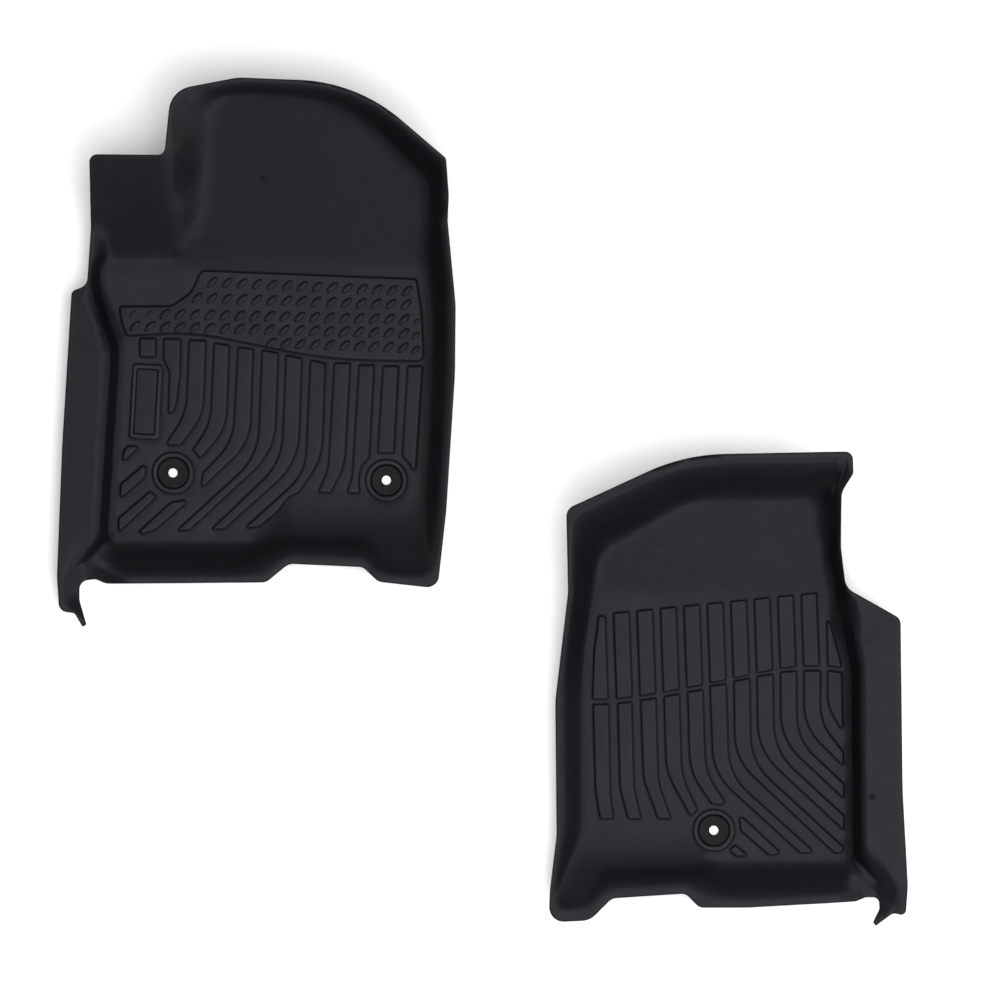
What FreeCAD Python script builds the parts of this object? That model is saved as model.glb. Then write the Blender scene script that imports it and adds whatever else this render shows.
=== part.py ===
"""Front floor mat set for a truck: two deep-dish liners, a blank name plate and three snap-in retainers.

Millimetres. The mats lie on z = 0 as seen from above: +Y towards the front of the truck, +X to its right.
Each liner is a moulded sheet. Its upper face follows a height law worked out from two loops: the
outline, whose corners carry the height of the rim, and the well, the line where the walls start.
"""

import FreeCAD, Part
import math
import os

Vector = FreeCAD.Vector

# ---- Driving dimensions -----------------------------------------------------------------------

FLOOR_TOP = 5.0          # upper face of the floor, above the ground
SHEET = 3.5              # thickness of the moulded sheet, square to its face
UNDERCUT = 0.6           # how far the lower face runs below the ground before it is cut flat
POLE_STEP = 7.5          # spacing of the control points of the moulded faces
MARGIN = 18.0            # how far the faces run past the outline before they are trimmed
RIM_WIDTH = 6.5          # flat top of the rim
BROW_SHARE = 0.15        # share of a wall's width taken by the rounding at its top
SHELF_FALL = 0.10        # how much a sill flap rises from its outer edge towards the riser
TOE_SLOPE = math.tan(math.radians(24))
REAR_SLOPE = 0.40
REAR_SOFT = 42.0         # half length of the soft start of the rear ramp
ARC_STEP = math.radians(12)

HOLE_RADIUS = 7.0        # bore of a retainer, which takes the floor post of the truck
DISC_RADIUS = 22.8
DISC_TOP = 6.6           # just below the collar round it
COLLAR_OUTER = 31.0      # raised collar of the liner round a retainer
COLLAR_INNER = 23.3
COLLAR_TOP = 7.0
POCKET_FLOOR = 2.9
WEB_HOLE_RADIUS = 17.5   # hole in the liner under the disc
BARREL_RADIUS = 13.0
NECK_RADIUS = 17.0       # neck of the disc inside the web hole
RING_RADIUS = 22.0       # clamping ring under the web
RING_TOP = 1.4
RING_BOTTOM = 0.2
UNDER_POCKET_RADIUS = 23.0
WEB_BOTTOM = 1.7
CLEARANCE = 0.3
POST_FLARE = 1.2         # chamfer at the mouth of the bore
DISC_ROUND = 0.6         # rounding of the disc's upper edge

PLATE_SIZE = (31.0, 97.0)
PLATE_POCKET = (31.6, 97.6)
PLATE_FRAME = (44.0, 112.0)   # raised frame of the liner round the pocket
PLATE_FRAME_TOP = 6.4
PLATE_POCKET_FLOOR = 2.5
PLATE_TOP = 4.6
PLATE_CORNER = 2.0
PLATE_FRAME_CORNER = 5.0
PLATE_LEAN = 3.2         # degrees anticlockwise from square

# ---- Plan of the driver's liner: its own origin is near the middle of the mat -----------------

# corner x, y, corner radius, height of the rim there
DRIVER_OUTLINE = [
    (-248, 295, 12, 134), (-136, 294, 11, 136), (-126, 390, 39, 142), (-26, 409, 90, 146),
    (151, 402, 308, 146), (284, 289, 10, 140), (288, 234, 90, 102), (286, 197, 90, 76),
    (298, 72, 200, 52), (297, -32, 500, 50), (284, -236, 300, 46), (271, -353, 18, 44),
    (182, -343, 18, 44), (159, -321, 15, 40), (48, -316, 20, 38), (14, -344, 18, 38),
    (-227, -346, 30, 36), (-241, -339, 12, 33), (-266, -342, 20, 30), (-266, -371, 30, 30),
    (-255, -407, 2, 30), (-261, -411, 2, 30), (-273, -390, 6, 34), (-296, -387, 14, 37),
    (-299, -333, 100, 41), (-291, -135, 800, 42), (-277, 92, 9, 44), (-254, 101, 15, 46),
    (-248, 185, 100, 50),
]
# corner x, y, corner radius, then of the side that starts there: share of the wall's width that
# the fillet at its foot takes, and the wall's width (0 where the wall runs out to the rim)
DRIVER_WELL = [
    (-235, 137, 10, 0.30, 4), (-108, 137, 25, 0.25, 26), (-80, 220, 80, 0.25, 48),
    (-73, 330, 60, 0.30, 0), (-64, 381, 30, 0.35, 0), (-10, 384, 60, 0.40, 0),
    (132, 373, 285, 0.40, 0), (256, 254, 14, 0.30, 0), (255, 222, 60, 0.35, 0),
    (250, 154, 100, 0.40, 0), (254, 34, 200, 0.40, 0), (250, -116, 200, 0.42, 0),
    (243, -228, 120, 0.35, 0), (250, -324, 14, 0.25, 0), (197, -320, 25, 0.30, 0),
    (168, -273, 30, 0.35, 0), (50, -270, 30, 0.33, 0), (2, -279, 30, 0.33, 0),
    (-224, -279, 9, 0.30, 12), (-208, -30, 150, 0.30, 12), (-207, 8, 40, 0.30, 12),
    (-234, 88, 60, 0.30, 12),
]
DRIVER_RETAINERS = {"outboard": (-126, -180), "inboard": (194, -191)}
PLATE_PLACE = (-167, -73)

# ---- Plan of the passenger's liner ------------------------------------------------------------

PASSENGER_OUTLINE = [
    (-243, 270, 18, 130), (-67, 351, 290, 146), (184, 356, 12, 146), (185, 323, 12, 142),
    (168, 295, 30, 118), (168, 211, 100, 78), (176, 152, 24, 56), (258, 106, 14, 44),
    (261, -151, 600, 44), (269, -294, 60, 40), (266, -340, 8, 36), (247, -335, 12, 34),
    (221, -355, 2, 28), (217, -349, 2, 28), (227, -329, 12, 29), (226, -312, 9, 30),
    (206, -312, 12, 31), (192, -318, 12, 34), (28, -327, 200, 36), (-43, -327, 15, 38),
    (-64, -306, 15, 38), (-174, -313, 18, 40), (-207, -346, 30, 44), (-269, -349, 36, 46),
    (-267, -300, 40, 46), (-257, -219, 80, 48), (-259, -17, 200, 52), (-240, 146, 100, 82),
]
PASSENGER_WELL = [
    (-192, 199, 38, 0.35, 0), (-57, 279, 90, 0.42, 0), (156, 279, 12, 0.25, 0),
    (151, 199, 60, 0.30, 14), (185, 25, 90, 0.30, 12), (187, -252, 9, 0.30, 0),
    (-24, -252, 25, 0.33, 0), (-68, -262, 20, 0.35, 0), (-192, -265, 25, 0.30, 0),
    (-216, -317, 18, 0.25, 0), (-252, -318, 20, 0.30, 0), (-250, -295, 40, 0.30, 0),
    (-223, -238, 60, 0.30, 0), (-211, -205, 60, 0.30, 0), (-213, 51, 150, 0.32, 0),
]
PASSENGER_RETAINERS = {"centre": (-21, -212)}

# Where each mat lies in the set, before the set is centred
DRIVER_PLACE = (-338, 225)
PASSENGER_PLACE = (368, -279)


# ---- Plane geometry ---------------------------------------------------------------------------

def corner_arc(before, corner, after):
    """Start, middle and end of the arc that rounds one corner, all as (x, y)."""
    x, y, radius = corner[:3]
    back = Vector(before[0] - x, before[1] - y, 0)
    ahead = Vector(after[0] - x, after[1] - y, 0)
    half_open = back.getAngle(ahead) / 2
    room = 0.49 * min(back.Length, ahead.Length)
    reach = min(radius / math.tan(half_open), room)
    used = reach * math.tan(half_open)
    back.normalize()
    ahead.normalize()
    inward = back + ahead
    inward.normalize()
    depth = used / math.sin(half_open) - used
    point = Vector(x, y, 0)
    return point + back * reach, point + inward * depth, point + ahead * reach


def neighbours(corners):
    """Each corner with the one before it and the one after it."""
    count = len(corners)
    for i, corner in enumerate(corners):
        yield corners[i - 1], corner, corners[(i + 1) % count]


def rounded_wire(corners):
    """Closed wire of straight sides joined by tangent arcs."""
    arcs = [corner_arc(*three) for three in neighbours(corners)]
    edges = []
    for i, (start, middle, end) in enumerate(arcs):
        edges.append(Part.Arc(start, middle, end).toShape())
        following = arcs[(i + 1) % len(arcs)][0]
        if (following - end).Length > 0.01:
            edges.append(Part.LineSegment(end, following).toShape())
    return Part.Wire(edges)


def arc_points(start, middle, end):
    """Points along the arc, close enough together to measure distances from."""
    arc = Part.Arc(start, middle, end).toShape()
    turn = arc.Length / arc.Curve.Radius
    count = max(1, math.ceil(turn / ARC_STEP))
    return arc.discretize(count + 1)


class Loop:
    """A rounded closed line that tells how far a point is from it and what the line carries there."""

    def __init__(self, corners, by_side):
        """Takes corners of (x, y, radius, values...); the values belong to a corner or to the side after it."""
        self.points = []
        for before, corner, after in neighbours(corners):
            steps = arc_points(*corner_arc(before, corner, after))
            first = before[3:] if by_side else corner[3:]
            last = corner[3:]
            for i, point in enumerate(steps):
                share = i / (len(steps) - 1)
                values = [a + (b - a) * share for a, b in zip(first, last)]
                self.points.append((point.x, point.y, values))

    def nearest(self, x, y):
        """Distance to the line, negative inside it, and the values carried at the nearest point."""
        best, values, inside = 1e18, None, False
        ax, ay, a_values = self.points[-1]
        for bx, by, b_values in self.points:
            dx, dy = bx - ax, by - ay
            span = dx * dx + dy * dy
            t = 0.0 if span < 1e-12 else ((x - ax) * dx + (y - ay) * dy) / span
            t = min(1.0, max(0.0, t))
            gap = (ax + dx * t - x) ** 2 + (ay + dy * t - y) ** 2
            if gap < best:
                best, values = gap, (a_values, b_values, t)
            if (ay > y) != (by > y) and x < ax + dx * (y - ay) / dy:
                inside = not inside
            ax, ay, a_values = bx, by, b_values
        low, high, t = values
        carried = [a + (b - a) * t for a, b in zip(low, high)]
        distance = math.sqrt(best)
        return (-distance if inside else distance), carried


# ---- Height law -------------------------------------------------------------------------------

def clamp(value):
    """Value held between 0 and 1."""
    return min(1.0, max(0.0, value))


def ease(value):
    """Smooth step from 0 to 1."""
    t = clamp(value)
    return t * t * (3 - 2 * t)


def rise(run, slope, soft):
    """Straight slope that starts at run 0, with a parabola from -soft to +soft in place of the kink."""
    if run <= -soft:
        return 0.0
    if run >= soft:
        return slope * run
    return slope * (run + soft) ** 2 / (4 * soft)


def wall_share(u, foot):
    """Height reached at share u of a wall's width: fillet at the foot, straight face, rounded brow."""
    u = clamp(u)
    steepness = 1 / (1 - foot / 2 - BROW_SHARE / 2)
    if u < foot:
        return steepness * u * u / (2 * foot)
    if u < 1 - BROW_SHARE:
        return steepness * (u - foot / 2)
    return 1 - steepness * (1 - u) ** 2 / (2 * BROW_SHARE)


def soft_min(a, b, soft):
    """Smaller of two heights, rounded over where they meet."""
    return (a + b - math.hypot(a - b, soft)) / 2


def soft_max(a, b, soft):
    """Larger of two heights, rounded over where they meet."""
    return (a + b + math.hypot(a - b, soft)) / 2


class Liner:
    """What both mats share: floor, ramps, walls, rim and sill flap."""

    outline, well = (), ()
    toe_start, toe_soft = 0.0, 20.0
    rear_start, rear_edge, rear_side = 0.0, 0.0, 1
    fold_centre, fold_radius, fold_drop = (0.0, 0.0), 40.0, 20.0

    def __init__(self):
        self.rim_line = Loop(self.outline, by_side=False)
        sided = [corner + (1.0 if corner[4] else 0.0,) for corner in self.well]
        self.well_line = Loop(sided, by_side=True)

    def floor(self, x, y):
        """Floor with the toe ramp in front and the rear ramp beside the step."""
        behind = self.rear_start - y
        side = self.rear_side * (x - self.rear_edge)
        width = max(2.0, 0.8 * behind)
        rear = rise(behind - 25, REAR_SLOPE, REAR_SOFT) * clamp(1 + side / width)
        return FLOOR_TOP + rise(y - self.toe_start, TOE_SLOPE, self.toe_soft) + rear

    def shelf(self, x, y, inset, rim_height):
        """What the walls rise to: the rim, or the sill flap with its fold at the rear."""
        flat = rim_height + SHELF_FALL * min(60.0, max(0.0, inset))
        cx, cy = self.fold_centre
        reach = self.fold_radius - math.hypot(x - cx, y - cy)
        return flat - self.fold_drop * ease(reach / (0.6 * self.fold_radius))

    def height(self, x, y):
        """Height of the upper face over a point of the plan."""
        floor = self.floor(x, y)
        outside_well, (foot, width, fixed) = self.well_line.nearest(x, y)
        if outside_well <= 0:
            return floor
        gap, (rim_height,) = self.rim_line.nearest(x, y)
        to_rim = max(0.0, -gap - RIM_WIDTH)
        to_edge = outside_well / (outside_well + to_rim)
        by_width = clamp(outside_well / max(width, 1.0))
        u = to_edge * (1 - fixed) + by_width * fixed
        return floor + (self.shelf(x, y, -gap, rim_height) - floor) * wall_share(u, foot)


class DriverLiner(Liner):
    """Left-hand mat, with a footrest block ahead of the sill flap."""

    outline, well = DRIVER_OUTLINE, DRIVER_WELL
    toe_start, toe_soft = 124.0, 20.0
    rear_start, rear_edge, rear_side = -217.0, 49.0, 1
    fold_centre, fold_radius, fold_drop = (-241.0, -355.0), 48.0, 15.0
    rest_foot, rest_slope, rest_side = 137.0, 0.84, -60.0
    strip_width, strip_height = 12.0, 47.0

    def shelf(self, x, y, inset, rim_height):
        """Rim and sill flap, and the sloping footrest ahead of the flap."""
        plain = super().shelf(x, y, inset, rim_height)
        if y < self.rest_foot or x > self.rest_side:
            return plain
        block = FLOOR_TOP + rise(y - self.rest_foot, self.rest_slope, 12)
        strip = min(plain, self.strip_height) - 3 * max(0.0, inset - self.strip_width)
        return soft_min(soft_max(block, strip, 6), rim_height + 2, 4)


class PassengerLiner(Liner):
    """Right-hand mat."""

    outline, well = PASSENGER_OUTLINE, PASSENGER_WELL
    toe_start, toe_soft = 150.0, 34.0
    rear_start, rear_edge, rear_side = -207.0, -67.0, -1
    fold_centre, fold_radius, fold_drop = (207.0, -306.0), 38.0, 14.0


# ---- Solids -----------------------------------------------------------------------------------

def pole_axis(low, high):
    """Knots, multiplicities and control point places of a clamped cubic that runs evenly from low to high."""
    spans = math.ceil((high - low) / POLE_STEP)
    knots = [low + POLE_STEP * i for i in range(spans + 1)]
    multiplicities = [4] + [1] * (spans - 1) + [4]
    full = [k for k, m in zip(knots, multiplicities) for _ in range(m)]
    places = [sum(full[i + 1:i + 4]) / 3 for i in range(spans + 3)]
    return knots, multiplicities, places


def moulded_face(axis_x, axis_y, heights):
    """Face of a cubic surface over the control heights."""
    poles = [[Vector(x, y, z) for y, z in zip(axis_y[2], column)] for x, column in zip(axis_x[2], heights)]
    surface = Part.BSplineSurface()
    surface.buildFromPolesMultsKnots(
        poles, axis_x[1], axis_y[1], axis_x[0], axis_y[0], False, False, 3, 3)
    return surface.toShape()


def underside(heights, i, j):
    """Height of the lower face under control point i, j: one sheet below, and below the ground under the floor."""
    top = heights[i][j]
    last_i, last_j = len(heights) - 1, len(heights[0]) - 1
    across = (heights[min(i + 1, last_i)][j] - heights[max(i - 1, 0)][j]) / (2 * POLE_STEP)
    along = (heights[i][min(j + 1, last_j)] - heights[i][max(j - 1, 0)]) / (2 * POLE_STEP)
    drop = SHEET * math.sqrt(1 + across * across + along * along)
    return max(0.0, top - drop) * clamp((top - FLOOR_TOP) / 4) - UNDERCUT


def sheet_solid(liner):
    """Moulded sheet between its two faces, trimmed to the outline and cut flat where it rests on the ground."""
    wire = rounded_wire(liner.outline)
    box = wire.BoundBox
    axis_x = pole_axis(box.XMin - MARGIN, box.XMax + MARGIN)
    axis_y = pole_axis(box.YMin - MARGIN, box.YMax + MARGIN)
    heights = [[liner.height(x, y) for y in axis_y[2]] for x in axis_x[2]]
    lower = [[underside(heights, i, j) for j in range(len(axis_y[2]))] for i in range(len(axis_x[2]))]
    top = moulded_face(axis_x, axis_y, heights)
    bottom = moulded_face(axis_x, axis_y, lower)
    faces = [top, bottom]
    for edge in top.Edges:
        under = min(bottom.Edges, key=lambda e: (e.CenterOfMass - edge.CenterOfMass).Length)
        faces += Part.makeRuledSurface(edge, under).Faces
    shell = Part.makeShell(faces)
    shell.sewShape()
    prism = Part.Face(wire).extrude(Vector(0, 0, 400))
    return Part.makeSolid(shell).common(prism)


def disc(x, y, bottom, top, radius):
    """Upright cylinder between two heights."""
    return Part.makeCylinder(radius, top - bottom, Vector(x, y, bottom))


def seated(liner, places):
    """Liner with a raised collar, a pocket above, a hole in the web and a pocket below for each retainer."""
    collars = [disc(x, y, FLOOR_TOP / 2, COLLAR_TOP, COLLAR_OUTER) for x, y in places]
    above = [disc(x, y, POCKET_FLOOR, COLLAR_TOP + 5, COLLAR_INNER) for x, y in places]
    holes = [disc(x, y, -5, COLLAR_TOP + 5, WEB_HOLE_RADIUS) for x, y in places]
    below = [disc(x, y, -5, WEB_BOTTOM, UNDER_POCKET_RADIUS) for x, y in places]
    return liner.fuse(collars).cut(above + holes + below)


def retainer_disc(x, y):
    """Upper half of a retainer: dished disc, neck through the web, and the bore for the floor post."""
    base = POCKET_FLOOR + CLEARANCE
    head = disc(x, y, base, DISC_TOP, DISC_RADIUS)
    rim = [e for e in head.Edges if e.Closed and e.CenterOfMass.z > DISC_TOP - 0.01]
    head = head.makeFillet(DISC_ROUND, rim)
    neck = disc(x, y, RING_TOP + 0.05, base, NECK_RADIUS)
    barrel = disc(x, y, RING_BOTTOM, base, BARREL_RADIUS)
    bore = disc(x, y, -5, DISC_TOP + 5, HOLE_RADIUS)
    mouth = Vector(x, y, DISC_TOP - POST_FLARE)
    flare = Part.makeCone(HOLE_RADIUS, HOLE_RADIUS + POST_FLARE, POST_FLARE, mouth)
    return head.fuse([neck, barrel]).cut(bore).cut(flare).removeSplitter()


def retainer_ring(x, y):
    """Lower half of a retainer: ring that snaps round the barrel and clamps the web from below."""
    ring = disc(x, y, RING_BOTTOM, RING_TOP, RING_RADIUS)
    return ring.cut(disc(x, y, -5, 5, BARREL_RADIUS + 0.05))


def rounded_block(size, bottom, top, radius):
    """Upright block about the origin with rounded corners."""
    x, y = size[0] / 2, size[1] / 2
    corners = [(-x, y, radius), (x, y, radius), (x, -y, radius), (-x, -y, radius)]
    block = Part.Face(rounded_wire(corners)).extrude(Vector(0, 0, top - bottom))
    block.translate(Vector(0, 0, bottom))
    return block


def name_plate_shape(size, bottom, top, radius):
    """Block the size of the name plate or of its pocket, turned and moved to its place on the driver's mat."""
    block = rounded_block(size, bottom, top, radius)
    block.rotate(Vector(0, 0, 0), Vector(0, 0, 1), -PLATE_LEAN)
    block.translate(Vector(PLATE_PLACE[0], PLATE_PLACE[1], 0))
    return block


def driver_liner():
    """Driver's mat with its two retainer seats and the framed pocket of the name plate."""
    frame = name_plate_shape(PLATE_FRAME, FLOOR_TOP / 2, PLATE_FRAME_TOP, PLATE_FRAME_CORNER)
    pocket = name_plate_shape(PLATE_POCKET, PLATE_POCKET_FLOOR, FLOOR_TOP + 5, PLATE_CORNER)
    return seated(sheet_solid(DriverLiner()), DRIVER_RETAINERS.values()).fuse(frame).cut(pocket)


def passenger_liner():
    """Passenger's mat with its retainer seat."""
    return seated(sheet_solid(PassengerLiner()), PASSENGER_RETAINERS.values())


def name_plate():
    """Blank plate that lies in its pocket."""
    return name_plate_shape(PLATE_SIZE, PLATE_POCKET_FLOOR, PLATE_TOP, PLATE_CORNER)


def mat_parts(side, liner, retainers, place):
    """Every solid of one mat, moved to where the mat lies."""
    parts = {side + "_liner": liner}
    for spot, (x, y) in retainers.items():
        name = side + "_" + spot + "_retainer"
        parts[name + "_disc"] = retainer_disc(x, y)
        parts[name + "_ring"] = retainer_ring(x, y)
    if side == "driver":
        parts["driver_name_plate"] = name_plate()
    for shape in parts.values():
        shape.translate(Vector(place[0], place[1], 0))
    return parts


def main():
    """Builds every part, centres the set over the origin and writes one file for each."""
    os.makedirs("parts", exist_ok=True)
    parts = mat_parts("driver", driver_liner(), DRIVER_RETAINERS, DRIVER_PLACE)
    parts.update(mat_parts("passenger", passenger_liner(), PASSENGER_RETAINERS, PASSENGER_PLACE))
    box = Part.makeCompound(list(parts.values())).optimalBoundingBox(True, False)
    centring = Vector(-box.Center.x, -box.Center.y, -box.ZMin)
    for name, shape in parts.items():
        shape.translate(centring)
        shape.exportStep("parts/" + name + ".step")
        print(name, shape.isValid(), len(shape.Solids), round(shape.Volume / 1000), "cm3", shape.BoundBox)
    print("centred by", centring)


main()
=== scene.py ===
"""Visual model of a truck's front floor mat set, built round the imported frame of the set.

The frame is in metres, with the mats lying on z = 0, +Y towards the front of the truck and +X to its
right. Sizes in this file are millimetres in each mat's own plan, and become metres as meshes are made.
"""
import logging
import math
from dataclasses import dataclass, field
from enum import Enum
from typing import Any, ClassVar, Sequence

import bpy
import numpy as np
from mathutils import Matrix, Vector
from mathutils.geometry import delaunay_2d_cdt


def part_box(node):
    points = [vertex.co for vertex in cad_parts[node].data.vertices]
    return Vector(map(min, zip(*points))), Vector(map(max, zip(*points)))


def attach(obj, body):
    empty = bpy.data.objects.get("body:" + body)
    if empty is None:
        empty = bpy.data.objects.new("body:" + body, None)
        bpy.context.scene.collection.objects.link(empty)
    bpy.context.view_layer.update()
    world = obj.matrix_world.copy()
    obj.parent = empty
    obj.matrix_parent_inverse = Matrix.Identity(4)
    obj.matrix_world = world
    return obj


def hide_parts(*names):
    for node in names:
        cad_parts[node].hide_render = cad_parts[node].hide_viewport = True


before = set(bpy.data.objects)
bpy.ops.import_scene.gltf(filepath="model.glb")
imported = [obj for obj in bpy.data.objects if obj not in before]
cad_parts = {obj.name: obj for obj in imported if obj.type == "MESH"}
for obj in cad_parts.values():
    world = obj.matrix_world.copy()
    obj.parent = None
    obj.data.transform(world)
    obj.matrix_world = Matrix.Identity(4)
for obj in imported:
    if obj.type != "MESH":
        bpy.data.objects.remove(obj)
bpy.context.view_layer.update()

LOG = logging.getLogger("floor_mats")
MM = 0.001
# places that are measured at once, which keeps the arrays small
BLOCK = 4000
Array = np.ndarray
Corner = tuple[float, ...]


# ---- Curves and heights -------------------------------------------------------------------------

def unit(vector: Array) -> Array:
    """Vector at length 1."""
    return vector / np.linalg.norm(vector)


@dataclass(frozen=True)
class RoundedLoop:
    """A closed line of straight sides joined by tangent arcs.

    A corner is (x, y, radius, values...). The values belong to the corner, or with by_side to the side
    that starts there.
    """

    corners: tuple[Corner, ...]
    by_side: bool = False
    # share of a side that one arc may take, so that two arcs never meet
    ROOM: ClassVar[float] = 0.49

    def trace(self, step: float, turn: float = math.radians(12)) -> tuple[Array, Array, Array]:
        """Points along the line.

        Args:
            step: longest gap between points.
            turn: largest turn between points on an arc.

        Returns:
            Points, outward directions and carried values, one row each.
        """
        count = len(self.corners)
        plan = np.array([corner[:2] for corner in self.corners], float)
        after = np.roll(plan, -1, axis=0)
        winding = np.sign(np.sum(plan[:, 0] * after[:, 1] - after[:, 0] * plan[:, 1]))
        points, outward, values = [], [], []
        for i in range(count):
            arc = self._arc(plan, i, step, turn, winding)
            carried = np.array(self.corners[i][3:], float)
            first = np.array(self.corners[i - 1][3:], float) if self.by_side else carried
            share = np.linspace(0, 1, len(arc[0]))[:, None]
            points.append(arc[0])
            outward.append(arc[1])
            values.append(first + (carried - first) * share)
        return self._join(points, outward, values, step)

    def _arc(self, plan: Array, i: int, step: float, turn: float, winding: float) -> tuple[Array, Array]:
        """The arc that rounds one corner.

        Args:
            plan: every corner of the line.
            i: number of the corner.
            step: longest gap between points.
            turn: largest turn between points.
            winding: 1 if the line runs anticlockwise, otherwise -1.

        Returns:
            Points and outward directions, one row each.
        """
        here = plan[i]
        back = plan[i - 1] - here
        ahead = plan[(i + 1) % len(plan)] - here
        room = self.ROOM * min(np.linalg.norm(back), np.linalg.norm(ahead))
        back, ahead = unit(back), unit(ahead)
        half = math.acos(max(-1.0, min(1.0, float(back @ ahead)))) / 2
        reach = min(self.corners[i][2] / math.tan(half), room)
        radius = reach * math.tan(half)
        centre = here + unit(back + ahead) * radius / math.sin(half)
        start = here + back * reach - centre
        bend = math.pi - 2 * half
        side = np.sign(-back[0] * ahead[1] + back[1] * ahead[0])
        pieces = max(1, math.ceil(bend / turn), math.ceil(bend * radius / step))
        angles = math.atan2(start[1], start[0]) + side * bend * np.linspace(0, 1, pieces + 1)
        ray = np.stack([np.cos(angles), np.sin(angles)], axis=1)
        return centre + radius * ray, ray * side * winding

    @staticmethod
    def _join(points: list[Array], outward: list[Array], values: list[Array],
              step: float) -> tuple[Array, Array, Array]:
        """Arcs joined by straight runs, with points along the runs too.

        Args:
            points: points of each arc.
            outward: their outward directions.
            values: their carried values.
            step: longest gap between points.

        Returns:
            Points, outward directions and values of the whole line.
        """
        rows: list[list[Array]] = [[], [], []]
        for i in range(len(points)):
            following = (i + 1) % len(points)
            ends = [(kind[i][-1], kind[following][0]) for kind in (points, outward, values)]
            pieces = math.ceil(float(np.linalg.norm(ends[0][1] - ends[0][0])) / step)
            share = np.linspace(0, 1, max(pieces, 1) + 1)[1:-1, None]
            for row, kind, (a, b) in zip(rows, (points, outward, values), ends):
                row.append(kind[i])
                row.append(a + (b - a) * share)
        return np.concatenate(rows[0]), np.concatenate(rows[1]), np.concatenate(rows[2])


@dataclass
class Ruler:
    """Measures distances from a closed line of points and reads what the line carries."""

    points: Array
    values: Array

    def read(self, places: Array) -> tuple[Array, Array]:
        """Measures places against the line.

        Args:
            places: x and y of each place, one row each.

        Returns:
            Distance of each place, negative inside the line, and the values carried there.
        """
        distance = np.empty(len(places))
        carried = np.empty((len(places), self.values.shape[1]))
        for start in range(0, len(places), BLOCK):
            block = slice(start, start + BLOCK)
            distance[block], carried[block] = self._read_block(places[block])
        return distance, carried

    def _read_block(self, places: Array) -> tuple[Array, Array]:
        """Measures one block of places.

        Args:
            places: x and y of each place, one row each.

        Returns:
            The same as read gives.
        """
        a = np.roll(self.points, 1, axis=0)
        run = self.points - a
        span = np.maximum((run ** 2).sum(axis=1), 1e-12)
        x, y = places[:, :1] - a[:, 0], places[:, 1:] - a[:, 1]
        t = np.clip((x * run[:, 0] + y * run[:, 1]) / span, 0, 1)
        gap = (x - t * run[:, 0]) ** 2 + (y - t * run[:, 1]) ** 2
        best = gap.argmin(axis=1)
        rows = np.arange(len(places))
        share = t[rows, best][:, None]
        low = np.roll(self.values, 1, axis=0)
        carried = low[best] * (1 - share) + self.values[best] * share
        distance = np.sqrt(gap[rows, best])
        return np.where(inside(self.points, places), -distance, distance), carried


def inside(line: Array, places: Array) -> Array:
    """Whether each place lies inside a closed line.

    Args:
        line: points of the line.
        places: x and y of each place, one row each.

    Returns:
        True for each place inside.
    """
    a, b = np.roll(line, 1, axis=0), line
    y = places[:, 1:]
    crossing = (a[:, 1] > y) != (b[:, 1] > y)
    rise_per_run = np.where(crossing, b[:, 1] - a[:, 1], 1.0)
    at = a[:, 0] + (b[:, 0] - a[:, 0]) * (y - a[:, 1]) / rise_per_run
    return (crossing & (places[:, :1] < at)).sum(axis=1) % 2 == 1


def ease(value: Array) -> Array:
    """Smooth step from 0 to 1."""
    t = np.clip(value, 0, 1)
    return t * t * (3 - 2 * t)


def rise(run: Array, slope: float, soft: float) -> Array:
    """Straight slope from run 0, with a parabola from -soft to +soft in place of the kink."""
    bend = slope * (np.clip(run, -soft, soft) + soft) ** 2 / (4 * soft)
    return np.where(run >= soft, slope * run, bend)


def soft_pick(a: Array, b: Array, soft: float, side: int) -> Array:
    """Smaller (side -1) or larger (side 1) of two heights, rounded over where they meet."""
    return (a + b + side * np.hypot(a - b, soft)) / 2


# ---- Moulded relief -----------------------------------------------------------------------------

# How far inside an edge, height gained there, and painted light: above 0 a painted highlight on the
# rounded edge, below 0 painted shade in the groove at its foot
BAR_EDGE = (
    (-2.8, 0.0, 0.0), (-1.6, -0.2, -0.4), (-1.0, -0.6, -0.8), (-0.3, -0.6, -0.8), (0.5, 0.9, 0.0),
    (1.3, 1.8, 0.8), (2.3, 2.2, 1.0), (3.8, 2.3, 0.0),
)
FRAME_EDGE = (
    (-2.4, 0.0, 0.0), (-1.3, -0.4, -0.9), (-0.3, -0.4, -0.9), (0.5, 0.9, 0.3), (1.4, 1.4, 0.9),
    (2.8, 1.4, 0.2),
)
POCKET_EDGE = (
    (-1.6, 0.0, 0.8), (-0.7, -0.25, 0.3), (0.0, -1.2, -0.8), (0.25, -3.9, -1.0), (1.6, -3.9, -0.6),
)
GATE_EDGE = ((-1.5, 0.0, 0.0), (-0.4, -0.1, -0.5), (0.5, -0.5, -1.0), (2.6, -0.6, -0.8))
COLLAR_EDGE = (
    (-2.6, 0.0, 0.0), (-1.2, -0.4, -1.0), (-0.3, -0.4, -1.0), (0.5, 1.2, 0.0), (1.2, 1.9, 0.9),
    (2.2, 2.0, 0.6), (6.1, 2.0, 0.3), (6.9, 1.6, 0.5), (7.4, 0.6, -0.6), (7.7, -2.1, -1.0),
    (13.5, -2.1, -0.5),
)


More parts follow.
